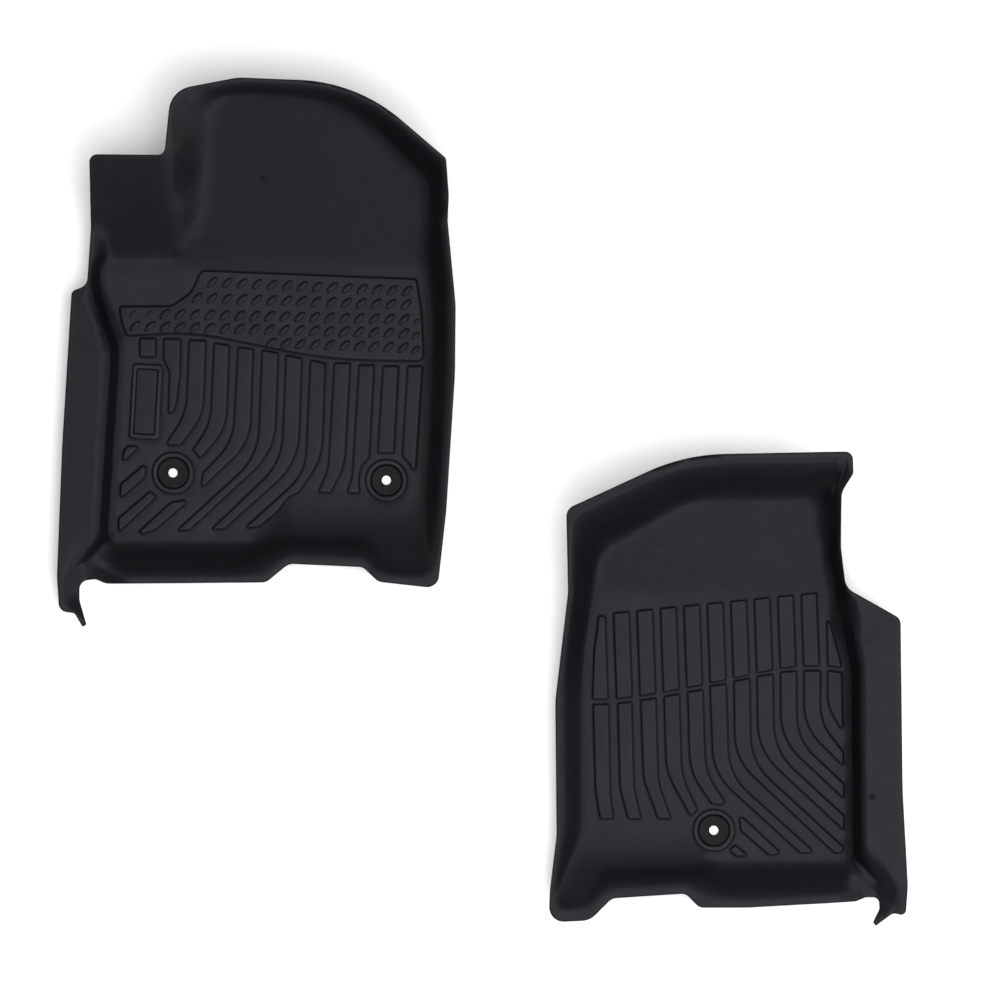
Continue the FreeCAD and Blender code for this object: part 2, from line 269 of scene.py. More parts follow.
@dataclass
class Relief:
    """A raised or sunk area of the floor: its edge line and the profile across the edge."""

    loop: RoundedLoop
    steps: tuple[tuple[float, float, float], ...]
    spacing: float = 6.0
    turn: float = math.radians(30)
    # how far beyond its edge a profile can reach
    MARGIN: ClassVar[float] = 3.0

    def rows(self) -> list[Array]:
        """Lines parallel to the edge, one for each step of the profile."""
        points, outward, _ = self.loop.trace(self.spacing, self.turn)
        return [points - outward * run for run, _, _ in self.steps]

    def shape(self, places: Array, heights: Array, painted_lights: Array) -> None:
        """Adds this area to the heights and painted light of the places near it.

        Args:
            places: x and y of each place, one row each.
            heights: height of each place, which is changed.
            painted_lights: painted light of each place, highlight above 0 and shade below 0, which is
                changed.
        """
        points, _, _ = self.loop.trace(self.spacing, self.turn)
        low, high = points.min(0) - self.MARGIN, points.max(0) + self.MARGIN
        near = np.all((places > low) & (places < high), axis=1)
        which = np.nonzero(near)[0]
        if not len(which):
            return
        distance, _ = Ruler(points, np.zeros((len(points), 1))).read(places[which])
        run, gain, painted_light = (np.array(column) for column in zip(*self.steps))
        heights[which] += np.interp(-distance, run, gain)
        # the profile's last column paints highlight on rounded edges and shade in the grooves at their feet
        painted_lights[which] += np.interp(-distance, run, painted_light)


def circle(x: float, y: float, radius: float) -> RoundedLoop:
    """Round loop."""
    r = radius
    return RoundedLoop(((x - r, y - r, r), (x + r, y - r, r), (x + r, y + r, r), (x - r, y + r, r)))


def slab(x: float, y: float, width: float, length: float, corner: float, lean: float) -> RoundedLoop:
    """Rounded rectangle.

    Args:
        x: middle.
        y: middle.
        width: size along x before it is turned.
        length: size along y before it is turned.
        corner: corner radius.
        lean: degrees that it is turned clockwise.

    Returns:
        The rectangle's line.
    """
    c, s = math.cos(math.radians(-lean)), math.sin(math.radians(-lean))
    halves = ((-1, -1), (1, -1), (1, 1), (-1, 1))
    ends = [(i * width / 2, j * length / 2) for i, j in halves]
    return RoundedLoop(tuple((x + a * c - b * s, y + a * s + b * c, corner) for a, b in ends))


def bars(outlines: Sequence[tuple[Corner, ...]]) -> list[Relief]:
    """Raised bars with the given outlines."""
    return [Relief(RoundedLoop(outline), BAR_EDGE) for outline in outlines]


def gate_mark(place: tuple[float, float]) -> Relief:
    """Small round mark where the mould was filled."""
    return Relief(circle(*place, 4.5), GATE_EDGE, 2.0, math.radians(15))


def collars(places: Sequence[tuple[float, float]]) -> list[Relief]:
    """Raised collar round each retainer."""
    return [Relief(circle(x, y, 31.0), COLLAR_EDGE, 2.5, math.radians(5)) for x, y in places]


# ---- Plan of the mats ---------------------------------------------------------------------------

# corner x, y, corner radius, height of the rim there
DRIVER_OUTLINE = (
    (-248, 295, 12, 134), (-136, 294, 11, 136), (-126, 390, 39, 142), (-26, 409, 90, 146),
    (151, 402, 308, 146), (284, 289, 10, 140), (288, 234, 90, 102), (286, 197, 90, 76),
    (298, 72, 200, 52), (297, -32, 500, 50), (284, -236, 300, 46), (271, -353, 18, 44),
    (182, -343, 18, 44), (159, -321, 15, 40), (48, -316, 20, 38), (14, -344, 18, 38),
    (-227, -346, 30, 36), (-241, -339, 12, 33), (-266, -342, 20, 30), (-266, -371, 30, 30),
    (-255, -407, 2, 30), (-261, -411, 2, 30), (-273, -390, 6, 34), (-296, -387, 14, 37),
    (-299, -333, 100, 41), (-291, -135, 800, 42), (-277, 92, 9, 44), (-254, 101, 15, 46),
    (-248, 185, 100, 50),
)
# corner x, y, corner radius, then of the side that starts there: share of the wall's width that the
# fillet at its foot takes, the wall's width, and 1 where that width is fixed
DRIVER_WELL = (
    (-235, 137, 10, 0.30, 4, 1), (-108, 137, 25, 0.25, 26, 1), (-80, 220, 80, 0.25, 48, 1),
    (-73, 330, 60, 0.30, 0, 0), (-64, 381, 30, 0.35, 0, 0), (-10, 384, 60, 0.40, 0, 0),
    (132, 373, 285, 0.40, 0, 0), (256, 254, 14, 0.30, 0, 0), (255, 222, 60, 0.35, 0, 0),
    (250, 154, 100, 0.40, 0, 0), (254, 34, 200, 0.40, 0, 0), (250, -116, 200, 0.42, 0, 0),
    (243, -228, 120, 0.35, 0, 0), (250, -324, 14, 0.25, 0, 0), (197, -320, 25, 0.30, 0, 0),
    (168, -273, 30, 0.35, 0, 0), (50, -270, 30, 0.33, 0, 0), (2, -279, 30, 0.33, 0, 0),
    (-224, -279, 9, 0.30, 12, 1), (-208, -30, 150, 0.30, 12, 1), (-207, 8, 40, 0.30, 12, 1),
    (-234, 88, 60, 0.30, 12, 1),
)
PASSENGER_OUTLINE = (
    (-243, 270, 18, 130), (-67, 351, 290, 146), (184, 356, 12, 146), (185, 323, 12, 142),
    (168, 295, 30, 118), (168, 211, 100, 78), (176, 152, 24, 56), (258, 106, 14, 44),
    (261, -151, 600, 44), (269, -294, 60, 40), (266, -340, 8, 36), (247, -335, 12, 34),
    (221, -355, 2, 28), (217, -349, 2, 28), (227, -329, 12, 29), (226, -312, 9, 30),
    (206, -312, 12, 31), (192, -318, 12, 34), (28, -327, 200, 36), (-43, -327, 15, 38),
    (-64, -306, 15, 38), (-174, -313, 18, 40), (-207, -346, 30, 44), (-269, -349, 36, 46),
    (-267, -300, 40, 46), (-257, -219, 80, 48), (-259, -17, 200, 52), (-240, 146, 100, 82),
)
PASSENGER_WELL = (
    (-192, 199, 38, 0.35, 0, 0), (-57, 279, 90, 0.42, 0, 0), (156, 279, 12, 0.25, 0, 0),
    (151, 199, 60, 0.30, 14, 1), (185, 25, 90, 0.30, 12, 1), (187, -252, 9, 0.30, 0, 0),
    (-24, -252, 25, 0.33, 0, 0), (-68, -262, 20, 0.35, 0, 0), (-192, -265, 25, 0.30, 0, 0),
    (-216, -317, 18, 0.25, 0, 0), (-252, -318, 20, 0.30, 0, 0), (-250, -295, 40, 0.30, 0, 0),
    (-223, -238, 60, 0.30, 0, 0), (-211, -205, 60, 0.30, 0, 0), (-213, 51, 150, 0.32, 0, 0),
)
# Raised heel pad, then the raised bars behind it from the left: x, y, corner radius
HEEL_PAD = (
    (-207, 70, 4), (-128, 70.5, 22), (-98, 91, 40), (-84, 123.5, 10), (239, 111, 5), (247, 60, 300),
    (250, -12, 10), (107, -10, 800), (-97, 31.6, 505), (-196, 26, 5), (-204, 48, 60),
)
DRIVER_BARS = (
    ((-140, 22, 2), (-115, 21, 2), (-115.5, -28, 90), (-121, -75, 30), (-127, -91, 4), (-133.5, -89, 3),
     (-131.5, -28, 8), (-140.5, -9, 4)),
    ((-102, 19.5, 2), (-77, 19, 2), (-81, -94, 86), (-115, -138, 4), (-133, -138.5, 3), (-135, -133, 3),
     (-106.5, -91, 90)),
    ((-64.5, 15, 2), (-42, 12, 2), (-46.5, -114, 82), (-85.5, -158, 2), (-96.5, -145, 2), (-70, -106, 97)),
    ((-28.5, 9, 2), (-6, 6, 2), (-11, -133.5, 80), (-80, -200, 3), (-84.5, -199, 2), (-81, -179.5, 4),
     (-36, -132, 80)),
    ((7.5, 4.5, 2), (31.5, 0.5, 2), (26, -147, 100), (-101, -265, 4), (-122, -267.5, 2), (1.5, -154.5, 96)),
    ((43.5, -3, 2), (67, -7.5, 2), (61.5, -164, 100), (-49, -263.5, 4), (-70, -265.5, 2), (37, -163.5, 96)),
    ((80, -10.5, 2), (102, -15, 2), (97, -158, 120), (63, -208, 8), (45, -217, 20), (31, -236.5, 20),
     (4, -260, 12), (-20, -263.5, 2), (72.5, -180, 76)),
    ((116, -15, 2), (139.5, -15, 2), (131, -170, 100), (110.5, -209, 4), (91, -209.5, 3), (107, -175, 90)),
    ((153, -18, 2), (175.5, -18, 2), (168, -156, 8), (155, -171, 25), (151.5, -193, 40), (154.5, -210, 3),
     (134.5, -210, 3), (143, -185, 60)),
    ((189, -19.5, 2), (212, -19.5, 2), (205, -150, 2), (181, -150, 2)),
    ((226, -19.5, 2), (248, -19.5, 2), (242, -115, 60), (238, -175, 3), (233, -175, 4), (229.5, -168, 8),
     (218, -154.5, 4)),
    ((-176.3, 22.5, 3), (-152.3, 22.5, 3), (-152.3, -5.6, 3), (-176.3, -5.6, 3)),
    ((-200, -145.5, 2), (-193, -139, 3), (-177, -140, 2), (-196.5, -160, 3), (-202.5, -160.5, 2)),
    ((-205, -196.5, 3), (-171, -168, 3), (-166.5, -172.5, 3), (-168, -186, 6), (-204, -217, 3),
     (-206, -213, 2)),
    ((-208, -247.5, 3), (-160.5, -207, 3), (-151, -216, 3), (-205, -266, 3), (-208.5, -267, 2)),
    ((-178.5, -268.5, 3), (-129, -223.5, 8), (-109.5, -220.5, 2), (-106.5, -225, 2), (-153, -265, 6),
     (-172.5, -271.5, 3)),
)
PASSENGER_BARS = (
    ((-195, 110, 4), (-184.5, 110, 2), (-180, -15, 2), (-203.3, -15, 2), (-201, 58.5, 200),
     (-196, 92, 60)),
    ((148.5, 103.5, 3), (153, 99, 4), (168.8, 45, 20), (170, 33, 2), (149.7, 35, 2)),
    ((-202.5, -23, 2), (-179, -22, 2), (-176.8, -159, 200), (-171.8, -194.3, 2), (-192, -194.3, 3),
     (-199, -152, 200)),
    ((-165.5, -21, 2), (-144.5, -19, 2), (-141, -150, 100), (-130.5, -194.3, 2), (-150, -194.3, 3),
     (-162, -150, 100)),
    ((-131, -16.5, 2), (-108, -13.5, 2), (-105, -140, 100), (-85.5, -194.3, 2), (-105, -194.3, 3),
     (-127, -135, 100)),
    ((-96, -11, 2), (-73, -7, 2), (-69.5, -130, 100), (-45.8, -180.8, 3), (-56.3, -191.3, 3),
     (-92.5, -125, 100)),
    ((-60.5, -4.5, 2), (-38, -0.5, 2), (-33.5, -125, 90), (-5.5, -167, 3), (-8, -173.5, 3),
     (-25, -171.5, 3), (-57, -125, 100)),
    ((-27, 4.5, 2), (-3, 8, 2), (1.5, -129, 90), (127, -242, 3), (122, -245.5, 3), (108, -245.5, 3),
     (-22, -127, 90)),
    ((9, 12, 2), (32.5, 16.5, 2), (34.5, -109.5, 90), (174, -237.5, 3), (171, -245.5, 6),
     (159, -245.5, 6), (10.5, -105, 90)),
    ((43.5, 19, 2), (67.4, 22.7, 2), (69, -93, 95), (174.5, -190, 2), (174.5, -211, 3), (171.5, -210, 3),
     (45, -92, 95)),
    ((78.8, 25.5, 2), (102.5, 27.5, 2), (104, -75.5, 80), (174.5, -142.5, 2), (174.5, -163, 3),
     (170.5, -161.5, 3), (79.5, -76, 90)),
    ((114, 27.8, 2), (138.8, 27.8, 2), (138.5, -50, 75), (173.5, -94.5, 2), (173.5, -113.5, 3),
     (169.5, -112.5, 3), (114, -57, 85)),
    ((149.7, 27.9, 2), (171, 25.2, 2), (172.7, -57, 3), (169, -59.5, 3), (149.5, -25, 60)),
    ((17, -193, 4), (23, -193, 3), (80, -246, 3), (61, -249, 4), (19, -212, 5)),
    ((1, -241.5, 3), (11.4, -234, 2), (31, -250, 2), (12.5, -251, 3)),
)


@dataclass(frozen=True)
class UpperBars:
    """The straight bars across the front of the passenger's floor, which end at one stepped line."""

    count: int = 9
    first: float = -171.8
    pitch: float = 35.2
    width: float = 23.3
    lean: float = 0.036
    front: float = 114.0
    front_slope: float = 0.099
    ends_x: tuple[float, ...] = (-203, -175, -110, -39, 67, 104, 138, 171)
    ends_y: tuple[float, ...] = (-15.5, -15, -5.8, 7.5, 30.3, 35, 35.3, 32.7)

    def outlines(self) -> list[tuple[Corner, ...]]:
        """Outlines of the bars.

        Returns:
            Corners (x, y, radius) of each bar, from the left.
        """
        made = []
        for i in range(self.count):
            left = self.first + self.pitch * i
            corners = []
            for x in (left, left + self.width):
                top = self.front + self.front_slope * (x - self.first)
                end = float(np.interp(x, self.ends_x, self.ends_y))
                corners.append(((x, top, 2.0), (x + self.lean * (top - end), end, 2.0)))
            (a, b), (c, d) = corners
            made.append((a, b, d, c))
        return made


# ---- Height law of the mats ---------------------------------------------------------------------

@dataclass
class MatShape:
    """Height of a mat's upper face over its plan: floor, ramps, walls, rim and sill flap."""

    outline: tuple[Corner, ...]
    well: tuple[Corner, ...]
    toe_start: float
    toe_soft: float
    rear_start: float
    rear_edge: float
    rear_side: int
    fold: tuple[float, float, float, float]
    floor_top: float = 5.0
    rim_width: float = 6.5
    brow: float = 0.15
    shelf_fall: float = 0.10
    toe_slope: float = math.tan(math.radians(24))
    rear_slope: float = 0.40
    rear_soft: float = 42.0
    rear_delay: float = 25.0
    # how far inward the flap goes on rising
    shelf_reach: float = 60.0
    # places (x, y, radius) where the moulding is rounded more softly
    soft_places: tuple[tuple[float, float, float], ...] = ()

    def __post_init__(self) -> None:
        """Prepares the two lines that heights are measured from."""
        rim, _, rim_values = RoundedLoop(self.outline).trace(1e9)
        well, _, well_values = RoundedLoop(self.well, by_side=True).trace(1e9)
        self.rim = Ruler(rim, rim_values)
        self.foot = Ruler(well, well_values)

    def floor(self, x: Array, y: Array) -> Array:
        """Floor with the toe ramp in front and the rear ramp beside the step.

        Args:
            x: across.
            y: towards the front.

        Returns:
            Height at each place.
        """
        behind = self.rear_start - y
        side = self.rear_side * (x - self.rear_edge)
        width = np.maximum(2.0, 0.8 * behind)
        rear = rise(behind - self.rear_delay, self.rear_slope, self.rear_soft)
        toe = rise(y - self.toe_start, self.toe_slope, self.toe_soft)
        return self.floor_top + toe + rear * np.clip(1 + side / width, 0, 1)

    def shelf(self, x: Array, y: Array, inset: Array, rim: Array) -> Array:
        """What the walls rise to: the rim, or the sill flap with its fold at the rear.

        Args:
            x: across.
            y: towards the front.
            inset: distance in from the outline.
            rim: height of the rim at the nearest point.

        Returns:
            Height at each place.
        """
        flat = rim + self.shelf_fall * np.clip(inset, 0, self.shelf_reach)
        cx, cy, radius, drop = self.fold
        return flat - drop * ease((radius - np.hypot(x - cx, y - cy)) / (0.6 * radius))

    def wall_share(self, u: Array, foot: Array) -> Array:
        """Section of a wall: fillet at the foot, straight face, brow.

        Args:
            u: share of the wall's width, from its foot.
            foot: share that the fillet takes.

        Returns:
            Share of the wall's height.
        """
        steep = 1 / (1 - foot / 2 - self.brow / 2)
        low = steep * u * u / (2 * foot)
        high = 1 - steep * (1 - u) ** 2 / (2 * self.brow)
        return np.where(u < foot, low, np.where(u < 1 - self.brow, steep * (u - foot / 2), high))

    def heights(self, places: Array) -> Array:
        """Height of the upper face.

        Args:
            places: x and y of each place, one row each.

        Returns:
            Height at each place.
        """
        x, y = places[:, 0], places[:, 1]
        floor = self.floor(x, y)
        outside, carried = self.foot.read(places)
        gap, rim = self.rim.read(places)
        foot, width, fixed = carried.T
        outside = np.maximum(outside, 0)
        to_rim = np.maximum(0, -gap - self.rim_width)
        to_edge = outside / np.maximum(outside + to_rim, 1e-9)
        by_width = np.clip(outside / np.maximum(width, 1.0), 0, 1)
        u = np.clip(to_edge * (1 - fixed) + by_width * fixed, 0, 1)
        return floor + (self.shelf(x, y, -gap, rim[:, 0]) - floor) * self.wall_share(u, foot)


@dataclass
class FootrestShape(MatShape):
    """The driver's mat, which has a sloping footrest ahead of its sill flap."""

    rest_foot: float = 137.0
    rest_slope: float = 0.84
    rest_side: float = -60.0
    strip_width: float = 12.0
    strip_height: float = 47.0
    strip_fall: float = 3.0
    rest_soft: float = 12.0
    meeting_soft: float = 6.0
    rim_soft: float = 4.0
    rim_gain: float = 2.0

    def shelf(self, x: Array, y: Array, inset: Array, rim: Array) -> Array:
        """Rim and sill flap, and the footrest.

        Args:
            x: across.
            y: towards the front.
            inset: distance in from the outline.
            rim: height of the rim at the nearest point.

        Returns:
            Height at each place.
        """
        plain = super().shelf(x, y, inset, rim)
        block = self.floor_top + rise(y - self.rest_foot, self.rest_slope, self.rest_soft)
        fall = self.strip_fall * np.maximum(0, inset - self.strip_width)
        strip = np.minimum(plain, self.strip_height) - fall
        higher = soft_pick(block, strip, self.meeting_soft, 1)
        rest = soft_pick(higher, rim + self.rim_gain, self.rim_soft, -1)
        return np.where((y < self.rest_foot) | (x > self.rest_side), plain, rest)


def even(grid: Array) -> Array:
    """Grid with each value averaged with its neighbours along the first axis."""
    padded = np.concatenate([grid[:1], grid, grid[-1:]])
    return (padded[:-2] + 2 * grid + padded[2:]) / 4


@dataclass
class HeightField:
    """Evened heights of a mat on a square grid, read anywhere as a cubic B-spline surface."""

    shape: MatShape
    step: float = 3.0
    margin: float = 18.0
    passes: int = 4
    soft_passes: int = 28
    # how fast the softer evening gives way towards the edge of its place
    fade: float = 1.6

    def __post_init__(self) -> None:
        """Fills the grid, with the moulding's softer places evened further."""
        rim = self.shape.rim.points
        self.low = rim.min(0) - self.margin
        high = rim.max(0) + self.margin
        axes = [np.arange(a, b + self.step, self.step) for a, b in zip(self.low, high)]
        x, y = np.meshgrid(*axes, indexing="ij")
        law = self.shape.heights(np.column_stack([x.ravel(), y.ravel()])).reshape(x.shape)
        crisp = self._evened(law, self.passes)
        soft = self._evened(law, self.soft_passes)
        share = np.zeros(x.shape)
        for cx, cy, radius in self.shape.soft_places:
            away = np.hypot(x - cx, y - cy)
            share = np.maximum(share, ease(self.fade - self.fade * away / radius))
        self.grid = crisp + (soft - crisp) * share

    @staticmethod
    def _evened(grid: Array, passes: int) -> Array:
        """Evens a grid along both axes.

        Args:
            grid: heights.
            passes: number of times.

        Returns:
            The evened grid.
        """
        for _ in range(passes):
            grid = even(even(grid).T).T
        return grid

    def read(self, places: Array) -> tuple[Array, Array]:
        """Reads the surface.

        Args:
            places: x and y of each place, one row each.

        Returns:
            Height and steepness at each place.
        """
        at = (places - self.low) / self.step
        cell = np.clip(np.floor(at).astype(int), 1, np.array(self.grid.shape) - 3)
        t = at - cell
        one = 1 - t
        weights = np.stack([one ** 3, 3 * t ** 3 - 6 * t ** 2 + 4,
                            3 * one ** 3 - 6 * one ** 2 + 4, t ** 3]) / 6
        slopes = np.stack([-one ** 2, t * (3 * t - 4), -one * (3 * one - 4), t ** 2]) / (2 * self.step)
        height, across, along = (np.zeros(len(places)) for _ in range(3))
        for i in range(4):
            for j in range(4):
                value = self.grid[cell[:, 0] + i - 1, cell[:, 1] + j - 1]
                height += value * weights[i, :, 0] * weights[j, :, 1]
                across += value * slopes[i, :, 0] * weights[j, :, 1]
                along += value * weights[i, :, 0] * slopes[j, :, 1]
        return height, np.hypot(across, along)


# ---- Meshes -------------------------------------------------------------------------------------

@dataclass
class Layout:
    """Points and lines on a plan, joined into triangles whose edges keep to the lines."""

    blocks: list[Array] = field(default_factory=list)
    lines: list[tuple[int, int]] = field(default_factory=list)
    count: int = 0
    # cells to one spacing of the grid, in which a row keeps grid points away
    cells: float = 1.6

    def row(self, points: Array, keep: Array | None = None) -> None:
        """Adds a closed row of points and the lines between them.

        Args:
            points: the row.
            keep: which points to use; a line goes only between neighbours that are both kept.
        """
        keep = np.ones(len(points), bool) if keep is None else keep
        number = np.cumsum(keep) - 1 + self.count
        for i in np.nonzero(keep & np.roll(keep, -1))[0]:
            self.lines.append((int(number[i]), int(number[(i + 1) % len(points)])))
        self.blocks.append(points[keep])
        self.count += int(keep.sum())

    def fill(self, spacing: float, low: Array, high: Array) -> None:
        """Adds a staggered grid of points wherever no row is near.

        Args:
            spacing: distance between points.
            low: low corner of the area.
            high: high corner of the area.
        """
        taken = set()
        for x, y in np.floor(np.concatenate(self.blocks) / spacing * self.cells).astype(int):
            taken.update((x + i, y + j) for i in (-1, 0, 1) for j in (-1, 0, 1))
        grid = []
        for j in range(int((high[1] - low[1]) / spacing)):
            for i in range(int((high[0] - low[0]) / spacing)):
                place = (low[0] + spacing * (i + 0.5 * (j % 2)), low[1] + spacing * j)
                if tuple(math.floor(value / spacing * self.cells) for value in place) not in taken:
                    grid.append(place)
        self.blocks.append(np.array(grid))
        self.count += len(grid)

    def triangles(self, outer: Array, holes: Sequence[Array]) -> tuple[Array, Array]:
        """Joins the points into triangles inside the outer line and outside every hole.

        Args:
            outer: points of the outer line.
            holes: points of each hole's line.

        Returns:
            Places, and the triangles' place numbers, anticlockwise.
        """
        places = [Vector(place) for place in np.concatenate(self.blocks).tolist()]
        found = delaunay_2d_cdt(places, self.lines, [], 0, 1e-4, False)
        plan = np.array([tuple(place) for place in found[0]])
        faces = np.array([face for face in found[2] if len(face) == 3])
        middle = plan[faces].mean(axis=1)
        blocks = range(0, len(middle), BLOCK)
        keep = np.concatenate([inside(outer, middle[i:i + BLOCK]) for i in blocks])
        for hole in holes:
            near = np.all((middle > hole.min(0)) & (middle < hole.max(0)), axis=1) & keep
            keep[near] = ~inside(hole, middle[near])
        a, b, c = (plan[faces[:, k]] for k in range(3))
        area = (b[:, 0] - a[:, 0]) * (c[:, 1] - a[:, 1]) - (c[:, 0] - a[:, 0]) * (b[:, 1] - a[:, 1])
        keep &= np.abs(area) > 1e-5
        faces[area < 0] = faces[area < 0][:, ::-1]
        faces = faces[keep]
        used, number = np.unique(faces, return_inverse=True)
        return plan[used], number.reshape(faces.shape)


def make_object(name: str, verts: Array, faces: Sequence, smooth: bool = True) -> bpy.types.Object:
    """Makes an object at the origin.

    Args:
        name: name of the object.
        verts: vertices in metres.
        faces: vertex numbers of each face.
        smooth: whether its faces are shaded smooth.

    Returns:
        The object, linked to the scene.
    """
    mesh = bpy.data.meshes.new(name)
    mesh.from_pydata(verts.tolist(), [], [tuple(int(i) for i in face) for face in faces])
    mesh.validate()
    mesh.update()
    mesh.polygons.foreach_set("use_smooth", [smooth] * len(mesh.polygons))
    obj = bpy.data.objects.new(name, mesh)
    bpy.context.scene.collection.objects.link(obj)
    return obj


def shell_faces(faces: Array, count: int) -> Array:
    """Closes a sheet.

    Args:
        faces: the upper triangles.
        count: number of upper vertices, which the lower ones follow.

    Returns:
        The upper faces, the same below turned over, and the edge between.
    """
    edges = np.concatenate([faces[:, [0, 1]], faces[:, [1, 2]], faces[:, [2, 0]]])
    _, first, number = np.unique(np.sort(edges, axis=1), axis=0, return_index=True, return_counts=True)
    rim = edges[first[number == 1]]
    a, b = rim[:, 0], rim[:, 1]
    side_one = np.stack([b, a, a + count], axis=1)
    side_two = np.stack([b, a + count, b + count], axis=1)
    return np.concatenate([faces, faces[:, ::-1] + count, side_one, side_two])


def lathe(name: str, profile: Sequence[tuple[float, float]], centre: Array,
          segments: int) -> bpy.types.Object:
    """Closed body turned about an upright axis.

    Args:
        name: name of the object.
        profile: closed line of (radius, height), anticlockwise with radius to the right.
        centre: x and y of the axis.
        segments: number of steps round the axis.

    Returns:
        The object, its place in its mesh.
    """
    verts = []
    for k in range(segments):
        angle = 2 * math.pi * k / segments
        for r, height in profile:
            verts.append((centre[0] + r * math.cos(angle), centre[1] + r * math.sin(angle), height))
    n = len(profile)
    faces = []
    for k in range(segments):
        here, there = k * n, (k + 1) % segments * n
        for i in range(n):
            following = (i + 1) % n
            faces.append((here + i, there + i, there + following, here + following))
    return make_object(name, np.array(verts) * MM, faces)


# ---- Nodes --------------------------------------------------------------------------------------

class Wiring:
    """Nodes and the links between them, written with one call to a node."""

    def __init__(self, tree: bpy.types.NodeTree) -> None:
        """Keeps the node tree to write in."""
        self.tree = tree

    def node(self, kind: str, settings: dict[str, Any] | None = None,
             inputs: dict[str | int, Any] | None = None) -> bpy.types.Node:
        """Adds a node.

        Args:
            kind: the node's type.
            settings: the node's own settings, which are set first.
            inputs: value or link of each of its sockets.

        Returns:
            The node.
        """
        made = self.tree.nodes.new(kind)
        for label, value in (settings or {}).items():
            setattr(made, label, value)
        for label, value in (inputs or {}).items():
            self.feed(made.inputs[label], value)
        return made

    def feed(self, socket: bpy.types.NodeSocket, value: Any) -> None:
        """Gives a socket a value or a link.

        Args:
            socket: the socket to feed.
            value: a plain value, another node's socket or a wire.
        """
        source = value.socket if isinstance(value, Wire) else value
        if isinstance(source, bpy.types.NodeSocket):
            self.tree.links.new(source, socket)
        else:
            socket.default_value = source


class Tree(Wiring):
    """A Geometry Nodes tree that is built by script and turned into a plain mesh."""

    def __init__(self, name: str, inputs: dict[str, tuple[str, Any]]) -> None:
        """Starts the tree.

        Args:
            name: name of the tree.
            inputs: socket type and value of each named input.
        """
        super().__init__(bpy.data.node_groups.new(name, "GeometryNodeTree"))
        self.tree.interface.new_socket("Geometry", in_out="INPUT", socket_type="NodeSocketGeometry")
        self.values = {}
        for label, (kind, value) in inputs.items():
            item = self.tree.interface.new_socket(label, in_out="INPUT", socket_type=kind)
            self.values[item.identifier] = value
        self.tree.interface.new_socket("Geometry", in_out="OUTPUT", socket_type="NodeSocketGeometry")
        self.start = self.tree.nodes.new("NodeGroupInput")

    def input(self, label: str) -> bpy.types.NodeSocket:
        """One of the tree's named inputs."""
        return self.start.outputs[label]

    def build(self, name: str, seed: bpy.types.Object, last: bpy.types.NodeSocket,
              material: bpy.types.Material) -> bpy.types.Object:
        """Runs the tree on an object's mesh.

        Args:
            name: name of the finished piece.
            seed: object whose mesh the tree starts from; it is used up.
            last: geometry socket to finish with.
            material: material of the result.

        Returns:
            A plain mesh object at the origin.
        """
        real = self.node("GeometryNodeRealizeInstances", None, {"Geometry": last})
        dressed = self.node("GeometryNodeSetMaterial", None,
                            {"Geometry": real.outputs["Geometry"], "Material": material})
        end = self.tree.nodes.new("NodeGroupOutput")
        self.tree.links.new(dressed.outputs["Geometry"], end.inputs["Geometry"])
        modifier = seed.modifiers.new("nodes", "NODES")
        modifier.node_group = self.tree
        for identifier, value in self.values.items():
            modifier[identifier] = value
        bpy.context.view_layer.update()
        ready = seed.evaluated_get(bpy.context.evaluated_depsgraph_get())
        mesh = bpy.data.meshes.new_from_object(ready)
        seed.modifiers.clear()
        bpy.data.objects.remove(seed)
        mesh.name = name
        mesh.polygons.foreach_set("use_smooth", [True] * len(mesh.polygons))
        obj = bpy.data.objects.new(name, mesh)
        bpy.context.scene.collection.objects.link(obj)
        return obj


@dataclass(frozen=True)
class NibField:
    """The small cones under a floor that grip the carpet and lift the sheet."""

    spacing: float = 12.0
    radius: float = 2.1
    tip: float = 0.7
    height: float = 1.5
    sides: int = 8

    def build(self, name: str, places: Array, material: bpy.types.Material) -> bpy.types.Object:
        """Makes one nib at each place.

        Args:
            name: name of the piece.
            places: x and y of each nib.
            material: material of the nibs.

        Returns:
            The nibs as one mesh.
        """
        base = np.column_stack([places, np.zeros(len(places))]) * MM
        seed = make_object(name + "_places", base, [])
        tree = Tree("nib_field", {
            "Base radius": ("NodeSocketFloat", self.radius * MM),
            "Tip radius": ("NodeSocketFloat", self.tip * MM),
            "Height": ("NodeSocketFloat", self.height * MM), "Sides": ("NodeSocketInt", self.sides)})
        cone = tree.node("GeometryNodeMeshCone", None, {
            "Vertices": tree.input("Sides"), "Radius Top": tree.input("Base radius"),
            "Radius Bottom": tree.input("Tip radius"), "Depth": tree.input("Height")})
        points = tree.node("GeometryNodeMeshToPoints", None, {"Mesh": tree.input("Geometry")})
        spread = tree.node("GeometryNodeInstanceOnPoints", None,
                           {"Points": points.outputs[0], "Instance": cone.outputs["Mesh"]})
        return tree.build(name, seed, spread.outputs["Instances"], material)


